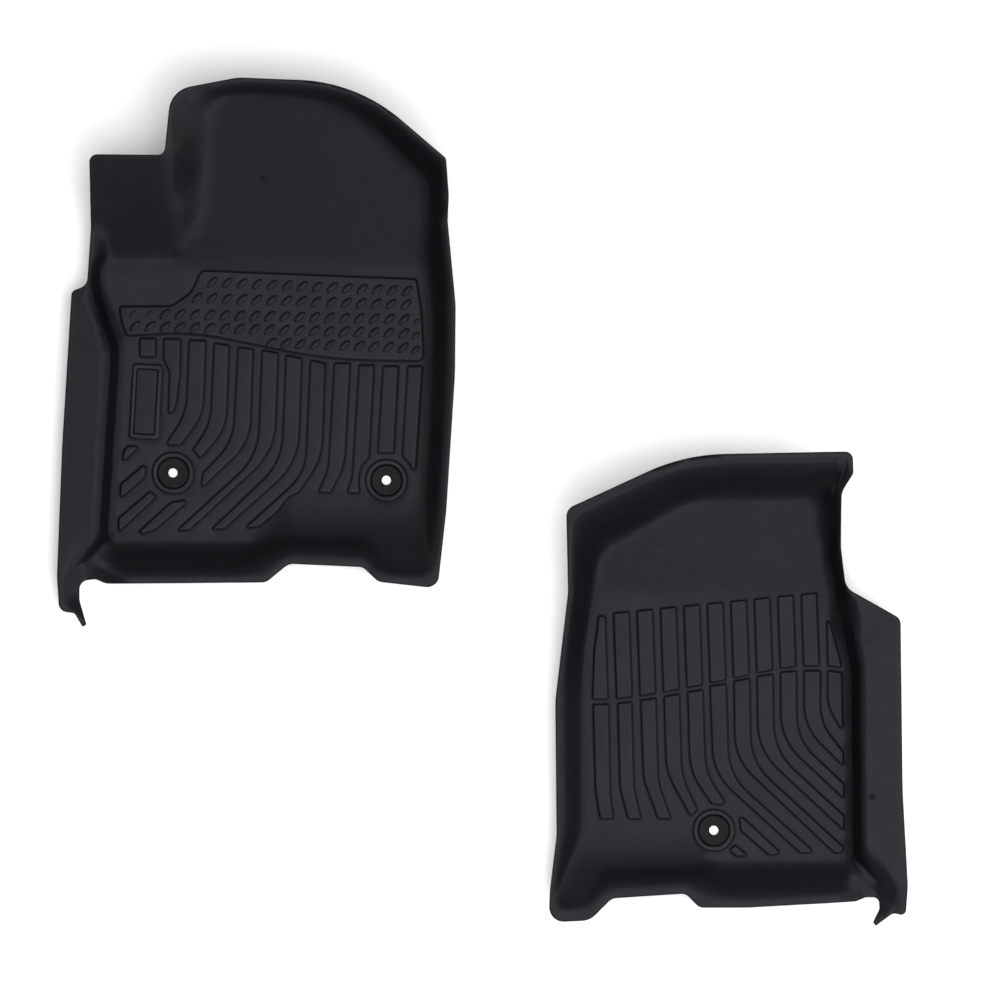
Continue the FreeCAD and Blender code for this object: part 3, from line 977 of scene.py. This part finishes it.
@dataclass(frozen=True)
class RingLugs:
    """The short lugs round the edge of a clamping ring, which give the fingers a hold."""

    count: int = 12
    circle: float = 20.3
    radius: float = 1.2
    height: float = 0.5

    def build(self, name: str, centre: Array, height: float,
              material: bpy.types.Material) -> bpy.types.Object:
        """Makes the lugs of one ring.

        Args:
            name: name of the piece.
            centre: x and y of the ring's axis.
            height: height of the lugs' middle.
            material: material of the lugs.

        Returns:
            The lugs as one mesh.
        """
        seed = make_object(name + "_seed", np.array([[0.0, 0.0, 0.0]]), [])
        tree = Tree("ring_lugs", {
            "Lugs": ("NodeSocketInt", self.count), "Circle radius": ("NodeSocketFloat", self.circle * MM),
            "Lug radius": ("NodeSocketFloat", self.radius * MM),
            "Lug height": ("NodeSocketFloat", self.height * MM),
            "Centre": ("NodeSocketVector", [centre[0] * MM, centre[1] * MM, height * MM])})
        line = tree.node("GeometryNodeCurvePrimitiveCircle", {"mode": "RADIUS"},
                         {"Radius": tree.input("Circle radius")})
        points = tree.node("GeometryNodeCurveToPoints", {"mode": "COUNT"},
                           {"Curve": line.outputs["Curve"], "Count": tree.input("Lugs")})
        lug = tree.node("GeometryNodeMeshCylinder", None, {
            "Vertices": 16, "Radius": tree.input("Lug radius"), "Depth": tree.input("Lug height")})
        spread = tree.node("GeometryNodeInstanceOnPoints", None, {
            "Points": points.outputs["Points"], "Instance": lug.outputs["Mesh"]})
        moved = tree.node("GeometryNodeTransform", None, {
            "Geometry": spread.outputs["Instances"], "Translation": tree.input("Centre")})
        return tree.build(name, seed, moved.outputs["Geometry"], material)


@dataclass(frozen=True)
class GripStuds:
    """The slanted oval studs that stand on the heel pad in slightly leaning rows."""

    length: float = 21.5
    width: float = 10.0
    height: float = 2.3
    slant: float = 43.0
    # first centre, last centre, number of studs and their relative size, from the front
    rows: tuple[tuple[tuple[float, float], tuple[float, float], int, float], ...] = (
        ((-67, 106.5), (225, 93), 14, 1.0), ((-90, 82.5), (223, 72.5), 15, 1.0),
        ((-186, 59), (-162, 58.5), 2, 0.6), ((-138, 58.5), (220.5, 50.4), 17, 1.0),
        ((239, 47), (239, 47), 1, 0.6), ((-183, 40.5), (220, 29.6), 19, 1.0),
        ((238, 26), (238, 26), 1, 0.75), ((21, 15), (219, 8), 10, 1.0), ((237.5, 5), (237.5, 5), 1, 0.8),
    )

    def build(self, name: str, surface: HeightField, lift: float, place: Array,
              material: bpy.types.Material) -> bpy.types.Object:
        """Every stud, with its foot sunk a little into the pad.

        Args:
            name: name of the piece.
            surface: heights of the mat below.
            lift: height of the pad above the floor.
            place: where the mat's own origin lies in the set.
            material: material of the studs.

        Returns:
            The studs as one mesh.
        """
        plan = np.concatenate([np.linspace(first, last, count) for first, last, count, _ in self.rows])
        sizes = np.concatenate([np.full(count, size) for _, _, count, size in self.rows])
        ground = surface.read(plan)[0] + lift
        seed = make_object(name + "_places", np.column_stack([plan + place, ground]) * MM, [])
        seed.data.attributes.new("size", "FLOAT", "POINT").data.foreach_set("value", sizes)
        tree = Tree("grip_studs", {
            "Stud size": ("NodeSocketVector", [self.length / 2 * MM, self.width / 2 * MM, self.height * MM]),
            "Slant": ("NodeSocketFloat", math.radians(self.slant))})
        ball = tree.node("GeometryNodeMeshUVSphere", None, {"Segments": 16, "Rings": 8, "Radius": 1.0})
        stud = tree.node("GeometryNodeTransform", None, {
            "Geometry": ball.outputs["Mesh"], "Scale": tree.input("Stud size")})
        turn = tree.node("ShaderNodeCombineXYZ", None, {"Z": tree.input("Slant")})
        size = tree.node("GeometryNodeInputNamedAttribute", {"data_type": "FLOAT"}, {"Name": "size"})
        points = tree.node("GeometryNodeMeshToPoints", None, {"Mesh": tree.input("Geometry")})
        spread = tree.node("GeometryNodeInstanceOnPoints", None, {
            "Points": points.outputs[0], "Instance": stud.outputs["Geometry"],
            "Scale": size.outputs["Attribute"]})
        turned = tree.node("GeometryNodeRotateInstances", None, {
            "Instances": spread.outputs["Instances"], "Rotation": turn.outputs["Vector"]})
        return tree.build(name, seed, turned.outputs["Instances"], material)


# ---- Finishes -----------------------------------------------------------------------------------

class Wire:
    """A shader socket that Python arithmetic can be written on."""

    def __init__(self, shader: "Shader", socket: bpy.types.NodeSocket) -> None:
        """Wraps a socket of one shader."""
        self.shader = shader
        self.socket = socket

    def _with(self, operation: str, first: Any, second: Any) -> "Wire":
        """Result of one Math node."""
        made = self.shader.node("ShaderNodeMath", {"operation": operation}, {0: first, 1: second})
        return Wire(self.shader, made.outputs[0])

    def __add__(self, other: Any) -> "Wire":
        """Sum."""
        return self._with("ADD", self, other)

    def __sub__(self, other: Any) -> "Wire":
        """Difference."""
        return self._with("SUBTRACT", self, other)

    def __rsub__(self, other: Any) -> "Wire":
        """Difference with this socket second."""
        return self._with("SUBTRACT", other, self)

    def __mul__(self, other: Any) -> "Wire":
        """Product."""
        return self._with("MULTIPLY", self, other)

    __radd__ = __add__
    __rmul__ = __mul__

    def held(self) -> "Wire":
        """Value held between 0 and 1."""
        made = self.shader.node("ShaderNodeClamp", None, {"Value": self})
        return Wire(self.shader, made.outputs[0])


class Shader(Wiring):
    """A material whose nodes are written one call each."""

    def __init__(self, name: str) -> None:
        """Starts a material with one Principled shader."""
        self.material = bpy.data.materials.new(name)
        self.material.use_nodes = True
        super().__init__(self.material.node_tree)
        self.surface = self.tree.nodes["Principled BSDF"]

    def noise(self, size: float, detail: float = 2.0, rough: float = 0.5) -> Wire:
        """Cloudy pattern in the object's own space.

        Args:
            size: width of its patches in millimetres.
            detail: number of finer layers.
            rough: strength of the finer layers.

        Returns:
            A wire from 0 to 1.
        """
        place = self.node("ShaderNodeTexCoord").outputs["Object"]
        made = self.node("ShaderNodeTexNoise", None, {
            "Vector": Wire(self, place), "Scale": 1 / (size * MM), "Detail": detail, "Roughness": rough})
        return Wire(self, made.outputs[0])

    def cells(self, size: float) -> Wire:
        """Pebbled pattern in the object's own space.

        Args:
            size: width of the pebbles in millimetres.

        Returns:
            A wire from about 0 to 1.
        """
        place = self.node("ShaderNodeTexCoord").outputs["Object"]
        made = self.node("ShaderNodeTexVoronoi", {"feature": "SMOOTH_F1"}, {
            "Vector": Wire(self, place), "Scale": 1 / (size * MM), "Smoothness": 0.6})
        return Wire(self, made.outputs[0])

    def attribute(self, name: str) -> Wire:
        """Value that the mesh carries."""
        made = self.node("ShaderNodeAttribute", {"attribute_name": name})
        return Wire(self, made.outputs["Fac"])

    def colours(self, share: Wire, low: Sequence[float] | Wire, high: Sequence[float] | Wire) -> Wire:
        """Colour between two others.

        Args:
            share: 0 for the low colour to 1 for the high one.
            low: a plain colour or a wire that carries one.
            high: the same.

        Returns:
            A wire that carries the colour.
        """
        ends = [end if isinstance(end, Wire) else (*end, 1.0) for end in (low, high)]
        made = self.node("ShaderNodeMix", {"data_type": "RGBA"}, {0: share, 6: ends[0], 7: ends[1]})
        return Wire(self, made.outputs[2])

    def bump(self, height: Wire, depth: float) -> Wire:
        """Surface normal of a pattern depth millimetres deep."""
        made = self.node("ShaderNodeBump", None, {"Height": height, "Distance": depth * MM, "Strength": 1.0})
        return Wire(self, made.outputs[0])


@dataclass(frozen=True)
class RubberFinish:
    """Matt moulded rubber with a fine grain, with painted highlight on raised edges and painted shade in the
    corners.
    """

    name: str
    tint: tuple[float, float, float] = (0.0027, 0.0025, 0.0036)
    # painted highlight colour for rounded raised edges, and painted shade colour for grooves and corners
    highlight_colour: tuple[float, float, float] = (0.0080, 0.0078, 0.0100)
    shade_colour: tuple[float, float, float] = (0.0005, 0.0005, 0.0008)
    roughness: float = 0.45
    gloss: float = 0.15
    gloss_tint: tuple[float, float, float] = (0.93, 0.91, 1.0)
    grain: float = 1.5
    grain_depth: float = 0.16
    # widths of the clouds, speckles and pores
    cloud: float = 55.0
    speckle: float = 2.4
    pore: float = 0.35
    # how far the tint swings, and how strongly the painted highlight and painted shade show
    swing: tuple[float, float] = (0.86, 1.16)
    highlight_strength: float = 0.7
    shade_strength: float = 0.8

    def material(self) -> bpy.types.Material:
        """Builds the material.

        Returns:
            The finished material.
        """
        shader = Shader(self.name)
        painted_light = shader.attribute("painted_light")
        cloud = shader.noise(self.cloud, 3.0)
        fine = shader.noise(self.speckle, 3.0, 0.6)
        grain = shader.cells(self.grain)
        pores = shader.noise(self.pore, 2.0, 0.6)
        low, high = ([share * c for c in self.tint] for share in self.swing)
        base = shader.colours((cloud * 0.9 + fine * 0.5 - 0.2).held(), low, high)
        # painted highlight where the painted light is above 0, painted shade where it is below 0
        highlight_share = (painted_light * (0.55 + 0.6 * fine)).held() * self.highlight_strength
        shade_share = (painted_light * -self.shade_strength).held()
        colour = shader.colours(shade_share, shader.colours(highlight_share, base, self.highlight_colour), self.shade_colour)
        shader.feed(shader.surface.inputs["Base Color"], colour)
        rough = self.roughness + (cloud - 0.5) * 0.14 + (fine - 0.5) * 0.45 - highlight_share * 0.10 + shade_share * 0.35
        shader.feed(shader.surface.inputs["Roughness"], rough)
        normal = shader.bump(grain + pores * 0.35, self.grain_depth)
        shader.feed(shader.surface.inputs["Normal"], normal)
        shader.surface.inputs["Specular IOR Level"].default_value = self.gloss
        shader.surface.inputs["Specular Tint"].default_value = (*self.gloss_tint, 1.0)
        return shader.material


@dataclass(frozen=True)
class PlasticFinish:
    """Satin moulded plastic with faint turned flow marks."""

    name: str
    tint: tuple[float, float, float] = (0.0024, 0.0024, 0.0032)
    roughness: float = 0.50
    gloss: float = 0.09
    # widths of the clouds and of the fine grain, the grain's depth, and how far the tint swings
    cloud: float = 9.0
    grain: float = 0.5
    grain_depth: float = 0.012
    swing: tuple[float, float] = (0.85, 1.3)

    def material(self) -> bpy.types.Material:
        """Builds the material.

        Returns:
            The finished material.
        """
        shader = Shader(self.name)
        cloud = shader.noise(self.cloud, 3.0)
        fine = shader.noise(self.grain, 3.0, 0.6)
        low, high = ([share * c for c in self.tint] for share in self.swing)
        shader.feed(shader.surface.inputs["Base Color"], shader.colours(cloud, low, high))
        shader.feed(shader.surface.inputs["Roughness"], self.roughness + (cloud - 0.5) * 0.16)
        shader.feed(shader.surface.inputs["Normal"], shader.bump(fine, self.grain_depth))
        shader.surface.inputs["Specular IOR Level"].default_value = self.gloss
        return shader.material


class Finish(Enum):
    """Materials of the set, each with a short name."""

    LINER = "liner"
    PLATE = "name_plate"
    RETAINER = "retainer"


@dataclass
class Palette:
    """Makes each finish once."""

    made: dict[Finish, bpy.types.Material] = field(default_factory=dict)

    RECIPES: ClassVar[dict[Finish, Any]] = {
        Finish.LINER: RubberFinish("liner_rubber"),
        Finish.PLATE: RubberFinish("plate_rubber", roughness=0.48, grain=0.5, grain_depth=0.02),
        Finish.RETAINER: PlasticFinish("retainer_plastic"),
    }

    def get(self, finish: Finish) -> bpy.types.Material:
        """Finds or makes a material.

        Args:
            finish: the finish.

        Returns:
            Its material, made at the first call.
        """
        if finish not in self.made:
            self.made[finish] = self.RECIPES[finish].material()
        return self.made[finish]

    def dress(self, obj: bpy.types.Object, finish: Finish) -> None:
        """Gives a piece its material.

        Args:
            obj: the piece.
            finish: its finish.
        """
        obj.data.materials.clear()
        obj.data.materials.append(self.get(finish))


# ---- Pieces -------------------------------------------------------------------------------------

@dataclass
class Retainer:
    """A two-part retainer: a dished disc with the post's bore, and the clamping ring under the web."""

    name: str
    body: str
    palette: Palette
    disc_radius: float = 22.8
    disc_top: float = 6.6
    disc_base: float = 3.2
    neck: float = 17.0
    barrel: float = 13.0
    bore: float = 7.0
    ring_radius: float = 22.0
    ring_top: float = 1.4
    ring_bottom: float = 0.2
    segments: int = 96

    def centre(self) -> Array:
        """Axis of the retainer, from the frame."""
        low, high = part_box(self.name + "_disc")
        return np.array([(low.x + high.x) / 2, (low.y + high.y) / 2]) / MM

    def disc_profile(self) -> list[tuple[float, float]]:
        """Section of the disc: bore, neck, underside, rounded edge, shallow dish and countersink.

        Returns:
            Closed line of (radius, height).
        """
        r, top = self.disc_radius, self.disc_top
        return [
            (self.bore, self.ring_bottom + 0.3), (self.bore + 0.3, self.ring_bottom),
            (self.barrel - 0.3, self.ring_bottom), (self.barrel, self.ring_bottom + 0.3),
            (self.barrel, self.ring_top + 0.05), (self.neck, self.ring_top + 0.05),
            (self.neck, self.disc_base), (r - 0.3, self.disc_base), (r, self.disc_base + 0.3),
            (r, top - 1.2), (r - 0.25, top - 0.55), (r - 0.8, top - 0.15), (r - 1.6, top),
            (r - 3.0, top - 0.03), (r - 4.5, top - 0.25), (r - 9.0, top - 0.42),
            (self.bore + 3.4, top - 0.45),
            (self.bore + 2.6, top - 0.32), (self.bore + 1.9, top - 0.4), (self.bore + 1.2, top - 0.9),
            (self.bore + 0.35, top - 1.9), (self.bore, top - 2.6),
        ]

    def ring_profile(self) -> list[tuple[float, float]]:
        """Section of the ring, with a step on its underside.

        Returns:
            Closed line of (radius, height).
        """
        inner, outer = self.barrel + 0.05, self.ring_radius
        low, high = self.ring_bottom, self.ring_top
        return [
            (inner, low + 0.2), (inner + 0.2, low), (inner + 2.6, low), (inner + 3.0, low + 0.35),
            (outer - 3.0, low + 0.35), (outer - 2.6, low), (outer - 0.2, low), (outer, low + 0.2),
            (outer, high - 0.2), (outer - 0.2, high), (inner + 0.2, high), (inner, high - 0.2),
        ]

    def build(self) -> None:
        """Makes, dresses and places both halves."""
        centre = self.centre()
        disc = lathe(self.name + "_dished_disc", self.disc_profile(), centre, self.segments)
        ring = lathe(self.name + "_clamping_ring", self.ring_profile(), centre, self.segments)
        lugs = RingLugs().build(self.name + "_ring_lugs", centre, self.ring_bottom + 0.3,
                                self.palette.get(Finish.RETAINER))
        for piece, node in ((disc, "_disc"), (ring, "_ring"), (lugs, None)):
            self.palette.dress(piece, Finish.RETAINER)
            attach(piece, self.body)
            if node:
                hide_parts(self.name + node)
            LOG.info("%s: %d faces", piece.name, len(piece.data.polygons))


@dataclass
class NamePlate:
    """The blank plate in the driver's mat: rounded edges and a slightly crowned face."""

    node: str
    body: str
    palette: Palette
    size: tuple[float, float] = (31.0, 97.0)
    lean: float = 3.2
    corner: float = 2.0
    bottom: float = 2.5
    top: float = 4.6

    def build(self) -> None:
        """Makes, dresses and places the plate."""
        low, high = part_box(self.node)
        x, y = (low.x + high.x) / 2 / MM, (low.y + high.y) / 2 / MM
        loop = slab(x, y, *self.size, self.corner, self.lean)
        points, outward, _ = loop.trace(8.0, math.radians(18))
        steps = ((0.25, self.bottom), (0.0, self.bottom + 0.25), (0.0, self.top - 0.9),
                 (0.3, self.top - 0.4), (0.9, self.top - 0.12), (1.7, self.top - 0.04))
        rings = [np.column_stack([points - outward * inset, np.full(len(points), height)])
                 for inset, height in steps]
        n = len(points)
        verts = np.concatenate(rings + [np.array([[x, y, self.top]]), np.array([[x, y, self.bottom]])])
        faces: list[tuple[int, ...]] = []
        for k in range(len(steps) - 1):
            faces += [(k * n + i, k * n + (i + 1) % n, (k + 1) * n + (i + 1) % n, (k + 1) * n + i)
                      for i in range(n)]
        last = (len(steps) - 1) * n
        faces += [(last + i, last + (i + 1) % n, len(steps) * n) for i in range(n)]
        faces += [((i + 1) % n, i, len(steps) * n + 1) for i in range(n)]
        plate = make_object("driver_blank_plate", verts * MM, faces)
        self.palette.dress(plate, Finish.PLATE)
        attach(plate, self.body)
        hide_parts(self.node)
        LOG.info("%s: %d faces", plate.name, len(plate.data.polygons))


@dataclass
class Liner:
    """One moulded mat: a sheet with walls, raised bars and collars, and nibs below."""

    node: str
    body: str
    shape: MatShape
    reliefs: list[Relief]
    retainers: tuple[tuple[float, float], ...]
    palette: Palette
    sheet: float = 3.5
    web_hole: float = 17.5
    grid: float = 6.5
    shares: tuple[float, ...] = (0, 0.07, 0.14, 0.22, 0.31, 0.41, 0.52, 0.63, 0.74, 0.83, 0.90, 0.95, 1.0)
    edge: tuple[tuple[float, float], ...] = ((0.0, -1.5), (0.4, -0.75), (1.0, -0.25), (1.9, 0.0))
    # painted light gained at each distance from the outline: painted shade on the outer edge, painted
    # highlight on the rim just inside it
    rim_painted_light: tuple[tuple[float, float], ...] = (
        (0.0, -1.0), (1.0, -0.8), (2.0, 0.4), (3.5, 0.7), (7.0, 0.0),
    )
    nibs: NibField = NibField()
    nib_gap: float = 27.0
    # least thickness of the sheet, and the slope past which it gets no deeper
    thinnest: float = 0.9
    steepest: float = 4.0
    # furthest from its foot that a wall's rim is looked for
    wall_reach: float = 75.0

    def __post_init__(self) -> None:
        """Prepares the smooth surface of the mat."""
        self.ground = HeightField(self.shape)

    def place(self) -> Array:
        """Where the mat's own origin lies in the set, from the frame.

        Returns:
            x and y of the origin.
        """
        points, _, _ = RoundedLoop(self.shape.outline).trace(2.0, math.radians(1))
        low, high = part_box(self.node)
        middle = np.array([low.x + high.x, low.y + high.y]) / 2 / MM
        return middle - (points.min(0) + points.max(0)) / 2

    def wall_rows(self) -> list[tuple[Array, Array]]:
        """Rows along the walls, from their foot to the rim.

        Returns:
            Points of each row, and which of them to keep.
        """
        foot, outward, carried = RoundedLoop(self.shape.well, by_side=True).trace(5.0)
        reach = np.arange(0.0, self.wall_reach, 1.0)
        probes = (foot[:, None] + outward[:, None] * reach[None, :, None]).reshape(-1, 2)
        gap = self.shape.rim.read(probes)[0].reshape(len(foot), -1)
        beyond = gap >= -self.shape.rim_width
        to_rim = reach[np.where(beyond.any(1), beyond.argmax(1), len(reach) - 1)]
        width = np.where(carried[:, 2] > 0.5, carried[:, 1], to_rim)
        rows = []
        for share in self.shares:
            row = foot + outward * (width * share)[:, None]
            rows.append((row, self.shape.rim.read(row)[0] < -4.0))
        return rows

    def layout(self) -> tuple[Array, Array]:
        """Plans the sheet's mesh.

        Returns:
            Places, and the triangles' place numbers.
        """
        plan = Layout()
        edge, outward, _ = RoundedLoop(self.shape.outline).trace(5.0, math.radians(9))
        for inset in [run for run, _ in self.edge] + [4.0, self.shape.rim_width, 9.0]:
            row = edge - outward * inset
            plan.row(row, None if inset < 3 else self._clear(row, inset))
        for row, keep in self.wall_rows():
            plan.row(row, keep)
        for relief in self.reliefs:
            for row in relief.rows():
                plan.row(row)
        holes = []
        for x, y in self.retainers:
            hole, _, _ = circle(x, y, self.web_hole).trace(3.0)
            plan.row(hole)
            holes.append(hole)
        plan.fill(self.grid, edge.min(0), edge.max(0))
        return plan.triangles(edge, holes)

    def _clear(self, row: Array, inset: float) -> Array:
        """Points of an inward row that keep their distance from the edge."""
        return self.shape.rim.read(row)[0] < -0.9 * inset

    def build(self) -> None:
        """Makes, dresses and places the sheet and its nibs."""
        plan, faces = self.layout()
        plain, slope = self.ground.read(plan)
        top, painted_light = plain.copy(), np.zeros(len(plan))
        for relief in self.reliefs:
            relief.shape(plan, top, painted_light)
        inset = -self.shape.rim.read(plan)[0]
        run, drop = zip(*self.edge)
        top += np.interp(inset, run, drop)
        # painted shade along the outer edge and painted highlight on the rim
        painted_light += np.interp(inset, *zip(*self.rim_painted_light))
        depth = self.sheet * np.sqrt(1 + np.minimum(slope, self.steepest) ** 2)
        below = np.minimum(np.maximum(plain - depth, self.nibs.height), top - self.thinnest)
        place = self.place()
        verts = np.concatenate([np.column_stack([plan + place, z]) for z in (top, below)]) * MM
        sheet = make_object(self.node + "_moulding", verts, shell_faces(faces, len(plan)))
        # the painted highlight and shade go to the material as a mesh attribute
        layer = sheet.data.attributes.new("painted_light", "FLOAT", "POINT")
        layer.data.foreach_set("value", np.concatenate([painted_light, np.zeros(len(plan))]))
        self.palette.dress(sheet, Finish.LINER)
        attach(sheet, self.body)
        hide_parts(self.node)
        LOG.info("%s: %d faces", sheet.name, len(sheet.data.polygons))
        self._add_nibs(place)

    def _add_nibs(self, place: Array) -> None:
        """Nibs on a grid under the flat floor, clear of the retainers.

        Args:
            place: where the mat's own origin lies in the set.
        """
        foot = self.shape.foot.points
        low, high = foot.min(0), foot.max(0)
        axes = [np.arange(a + 6, b, self.nibs.spacing) for a, b in zip(low, high)]
        spots = np.array([(x, y) for x in axes[0] for y in axes[1]])
        level = self.ground.read(spots)[0] < self.shape.floor_top + 0.02
        flat = (self.shape.foot.read(spots)[0] < -4) & level
        for x, y in self.retainers:
            flat &= np.hypot(spots[:, 0] - x, spots[:, 1] - y) > self.nib_gap
        nibs = self.nibs.build(self.node + "_floor_nibs", spots[flat] + place,
                               self.palette.get(Finish.LINER))
        nibs.data.transform(Matrix.Translation((0, 0, self.nibs.height / 2 * MM)))
        self.palette.dress(nibs, Finish.LINER)
        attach(nibs, self.body)
        LOG.info("%s: %d faces", nibs.name, len(nibs.data.polygons))


@dataclass
class DriverMat:
    """The driver's mat with its heel pad, grip studs, name plate and two retainers."""

    palette: Palette
    retainers: tuple[tuple[float, float], ...] = ((-126, -180), (194, -191))
    plate: tuple[float, float] = (-167, -73)
    gate: tuple[float, float] = (8, 259.5)
    lean: float = 3.2
    body: str = "driver_mat"

    def shape(self) -> FootrestShape:
        """Height law of the mat."""
        return FootrestShape(DRIVER_OUTLINE, DRIVER_WELL, toe_start=124, toe_soft=20, rear_start=-217,
                             rear_edge=49, rear_side=1, fold=(-241, -355, 48, 15),
                             soft_places=((-88, 212, 62), (-88, 275, 62), (-88, 345, 62)))

    def reliefs(self) -> list[Relief]:
        """Lists what is raised or sunk in the floor.

        Returns:
            Each area, in the order in which they are added up.
        """
        areas = [*bars([HEEL_PAD]), gate_mark(self.gate), *bars(DRIVER_BARS)]
        areas.append(Relief(slab(*self.plate, 44.0, 112.0, 5.0, self.lean), FRAME_EDGE))
        areas.append(Relief(slab(*self.plate, 31.6, 97.6, 2.0, self.lean), POCKET_EDGE))
        return areas + collars(self.retainers)

    def build(self) -> None:
        """Makes every piece of the mat."""
        liner = Liner("driver_liner", self.body, self.shape(), self.reliefs(), self.retainers,
                      self.palette)
        liner.build()
        studs = GripStuds().build("driver_grip_studs", liner.ground, BAR_EDGE[-1][1], liner.place(),
                                  self.palette.get(Finish.LINER))
        self.palette.dress(studs, Finish.LINER)
        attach(studs, self.body)
        LOG.info("%s: %d faces", studs.name, len(studs.data.polygons))
        NamePlate("driver_name_plate", self.body, self.palette).build()
        for side in ("outboard", "inboard"):
            Retainer(f"driver_{side}_retainer", f"driver_{side}_retainer", self.palette).build()


@dataclass
class PassengerMat:
    """The passenger's mat with its retainer."""

    palette: Palette
    retainers: tuple[tuple[float, float], ...] = ((-21, -212),)
    gate: tuple[float, float] = (214.5, -160.5)
    body: str = "passenger_mat"

    def shape(self) -> MatShape:
        """Height law of the mat."""
        return MatShape(PASSENGER_OUTLINE, PASSENGER_WELL, toe_start=150, toe_soft=34, rear_start=-207,
                        rear_edge=-67, rear_side=-1, fold=(207, -306, 38, 14),
                        soft_places=((160, 260, 50), (175, 110, 40)))

    def reliefs(self) -> list[Relief]:
        """Lists what is raised or sunk in the floor.

        Returns:
            Each area, in the order in which they are added up.
        """
        ribbed = bars([*PASSENGER_BARS, *UpperBars().outlines()])
        return [gate_mark(self.gate), *ribbed, *collars(self.retainers)]

    def build(self) -> None:
        """Makes every piece of the mat."""
        liner = Liner("passenger_liner", self.body, self.shape(), self.reliefs(), self.retainers,
                      self.palette)
        liner.build()
        name = "passenger_centre_retainer"
        Retainer(name, name, self.palette).build()


# ---- Studio -------------------------------------------------------------------------------------

@dataclass(frozen=True)
class SoftBox:
    """A large soft light that points at the set."""

    name: str
    place: tuple[float, float, float]
    size: tuple[float, float]
    power: float

    def build(self) -> None:
        """Adds the light, hidden from the camera."""
        light = bpy.data.lights.new(self.name, "AREA")
        light.shape = "RECTANGLE"
        light.size, light.size_y = self.size
        light.energy = self.power
        obj = bpy.data.objects.new(self.name, light)
        obj.location = self.place
        obj.rotation_euler = (-Vector(self.place)).to_track_quat("-Z", "Y").to_euler()
        obj.visible_camera = False
        bpy.context.scene.collection.objects.link(obj)


@dataclass
class Studio:
    """Plain pale floor, soft light and a long lens looking straight down."""

    span: float = 1.5
    lens: float = 500.0
    sensor: float = 36.0
    centre: tuple[float, float] = (0.0263, 0.0042)
    floor_half: float = 20.0
    sky: float = 0.45
    boxes: tuple[SoftBox, ...] = (
        SoftBox("overhead", (0.3, -0.3, 4.2), (3.6, 3.6), 165.0),
        SoftBox("front_box", (1.1, -2.5, 1.7), (2.4, 0.9), 48.0),
        SoftBox("left_box", (-2.2, 0.3, 1.1), (0.9, 2.4), 12.0),
        SoftBox("right_box", (2.2, -0.3, 1.1), (0.9, 2.4), 26.0),
    )

    def floor(self) -> None:
        """Adds the floor."""
        half = self.floor_half
        verts = np.array([(-half, -half, 0), (half, -half, 0), (half, half, 0), (-half, half, 0)])
        floor = make_object("studio_floor", verts, [(0, 1, 2, 3)], smooth=False)
        shader = Shader("studio_floor")
        shader.feed(shader.surface.inputs["Base Color"],
                    shader.colours(shader.noise(400.0), (0.94, 0.94, 0.94), (0.96, 0.96, 0.96)))
        shader.surface.inputs["Roughness"].default_value = 0.9
        floor.data.materials.append(shader.material)

    def build(self) -> None:
        """Adds floor, lights, sky and camera."""
        self.floor()
        for box in self.boxes:
            box.build()
        world = bpy.data.worlds.new("studio")
        world.use_nodes = True
        world.node_tree.nodes["Background"].inputs["Color"].default_value = (1, 1, 1, 1)
        world.node_tree.nodes["Background"].inputs["Strength"].default_value = self.sky
        bpy.context.scene.world = world
        bpy.context.scene.view_settings.view_transform = "Standard"
        camera = bpy.data.cameras.new("camera")
        camera.lens, camera.sensor_width = self.lens, self.sensor
        camera.clip_end = 100.0
        obj = bpy.data.objects.new("camera", camera)
        obj.location = (*self.centre, self.span * self.lens / self.sensor)
        bpy.context.scene.collection.objects.link(obj)
        bpy.context.scene.camera = obj


def main() -> None:
    """Builds the mats and the studio."""
    logging.basicConfig(level=logging.INFO, format="%(name)s: %(message)s")
    palette = Palette()
    DriverMat(palette).build()
    PassengerMat(palette).build()
    Studio().build()


if __name__ == "__main__":
    main()
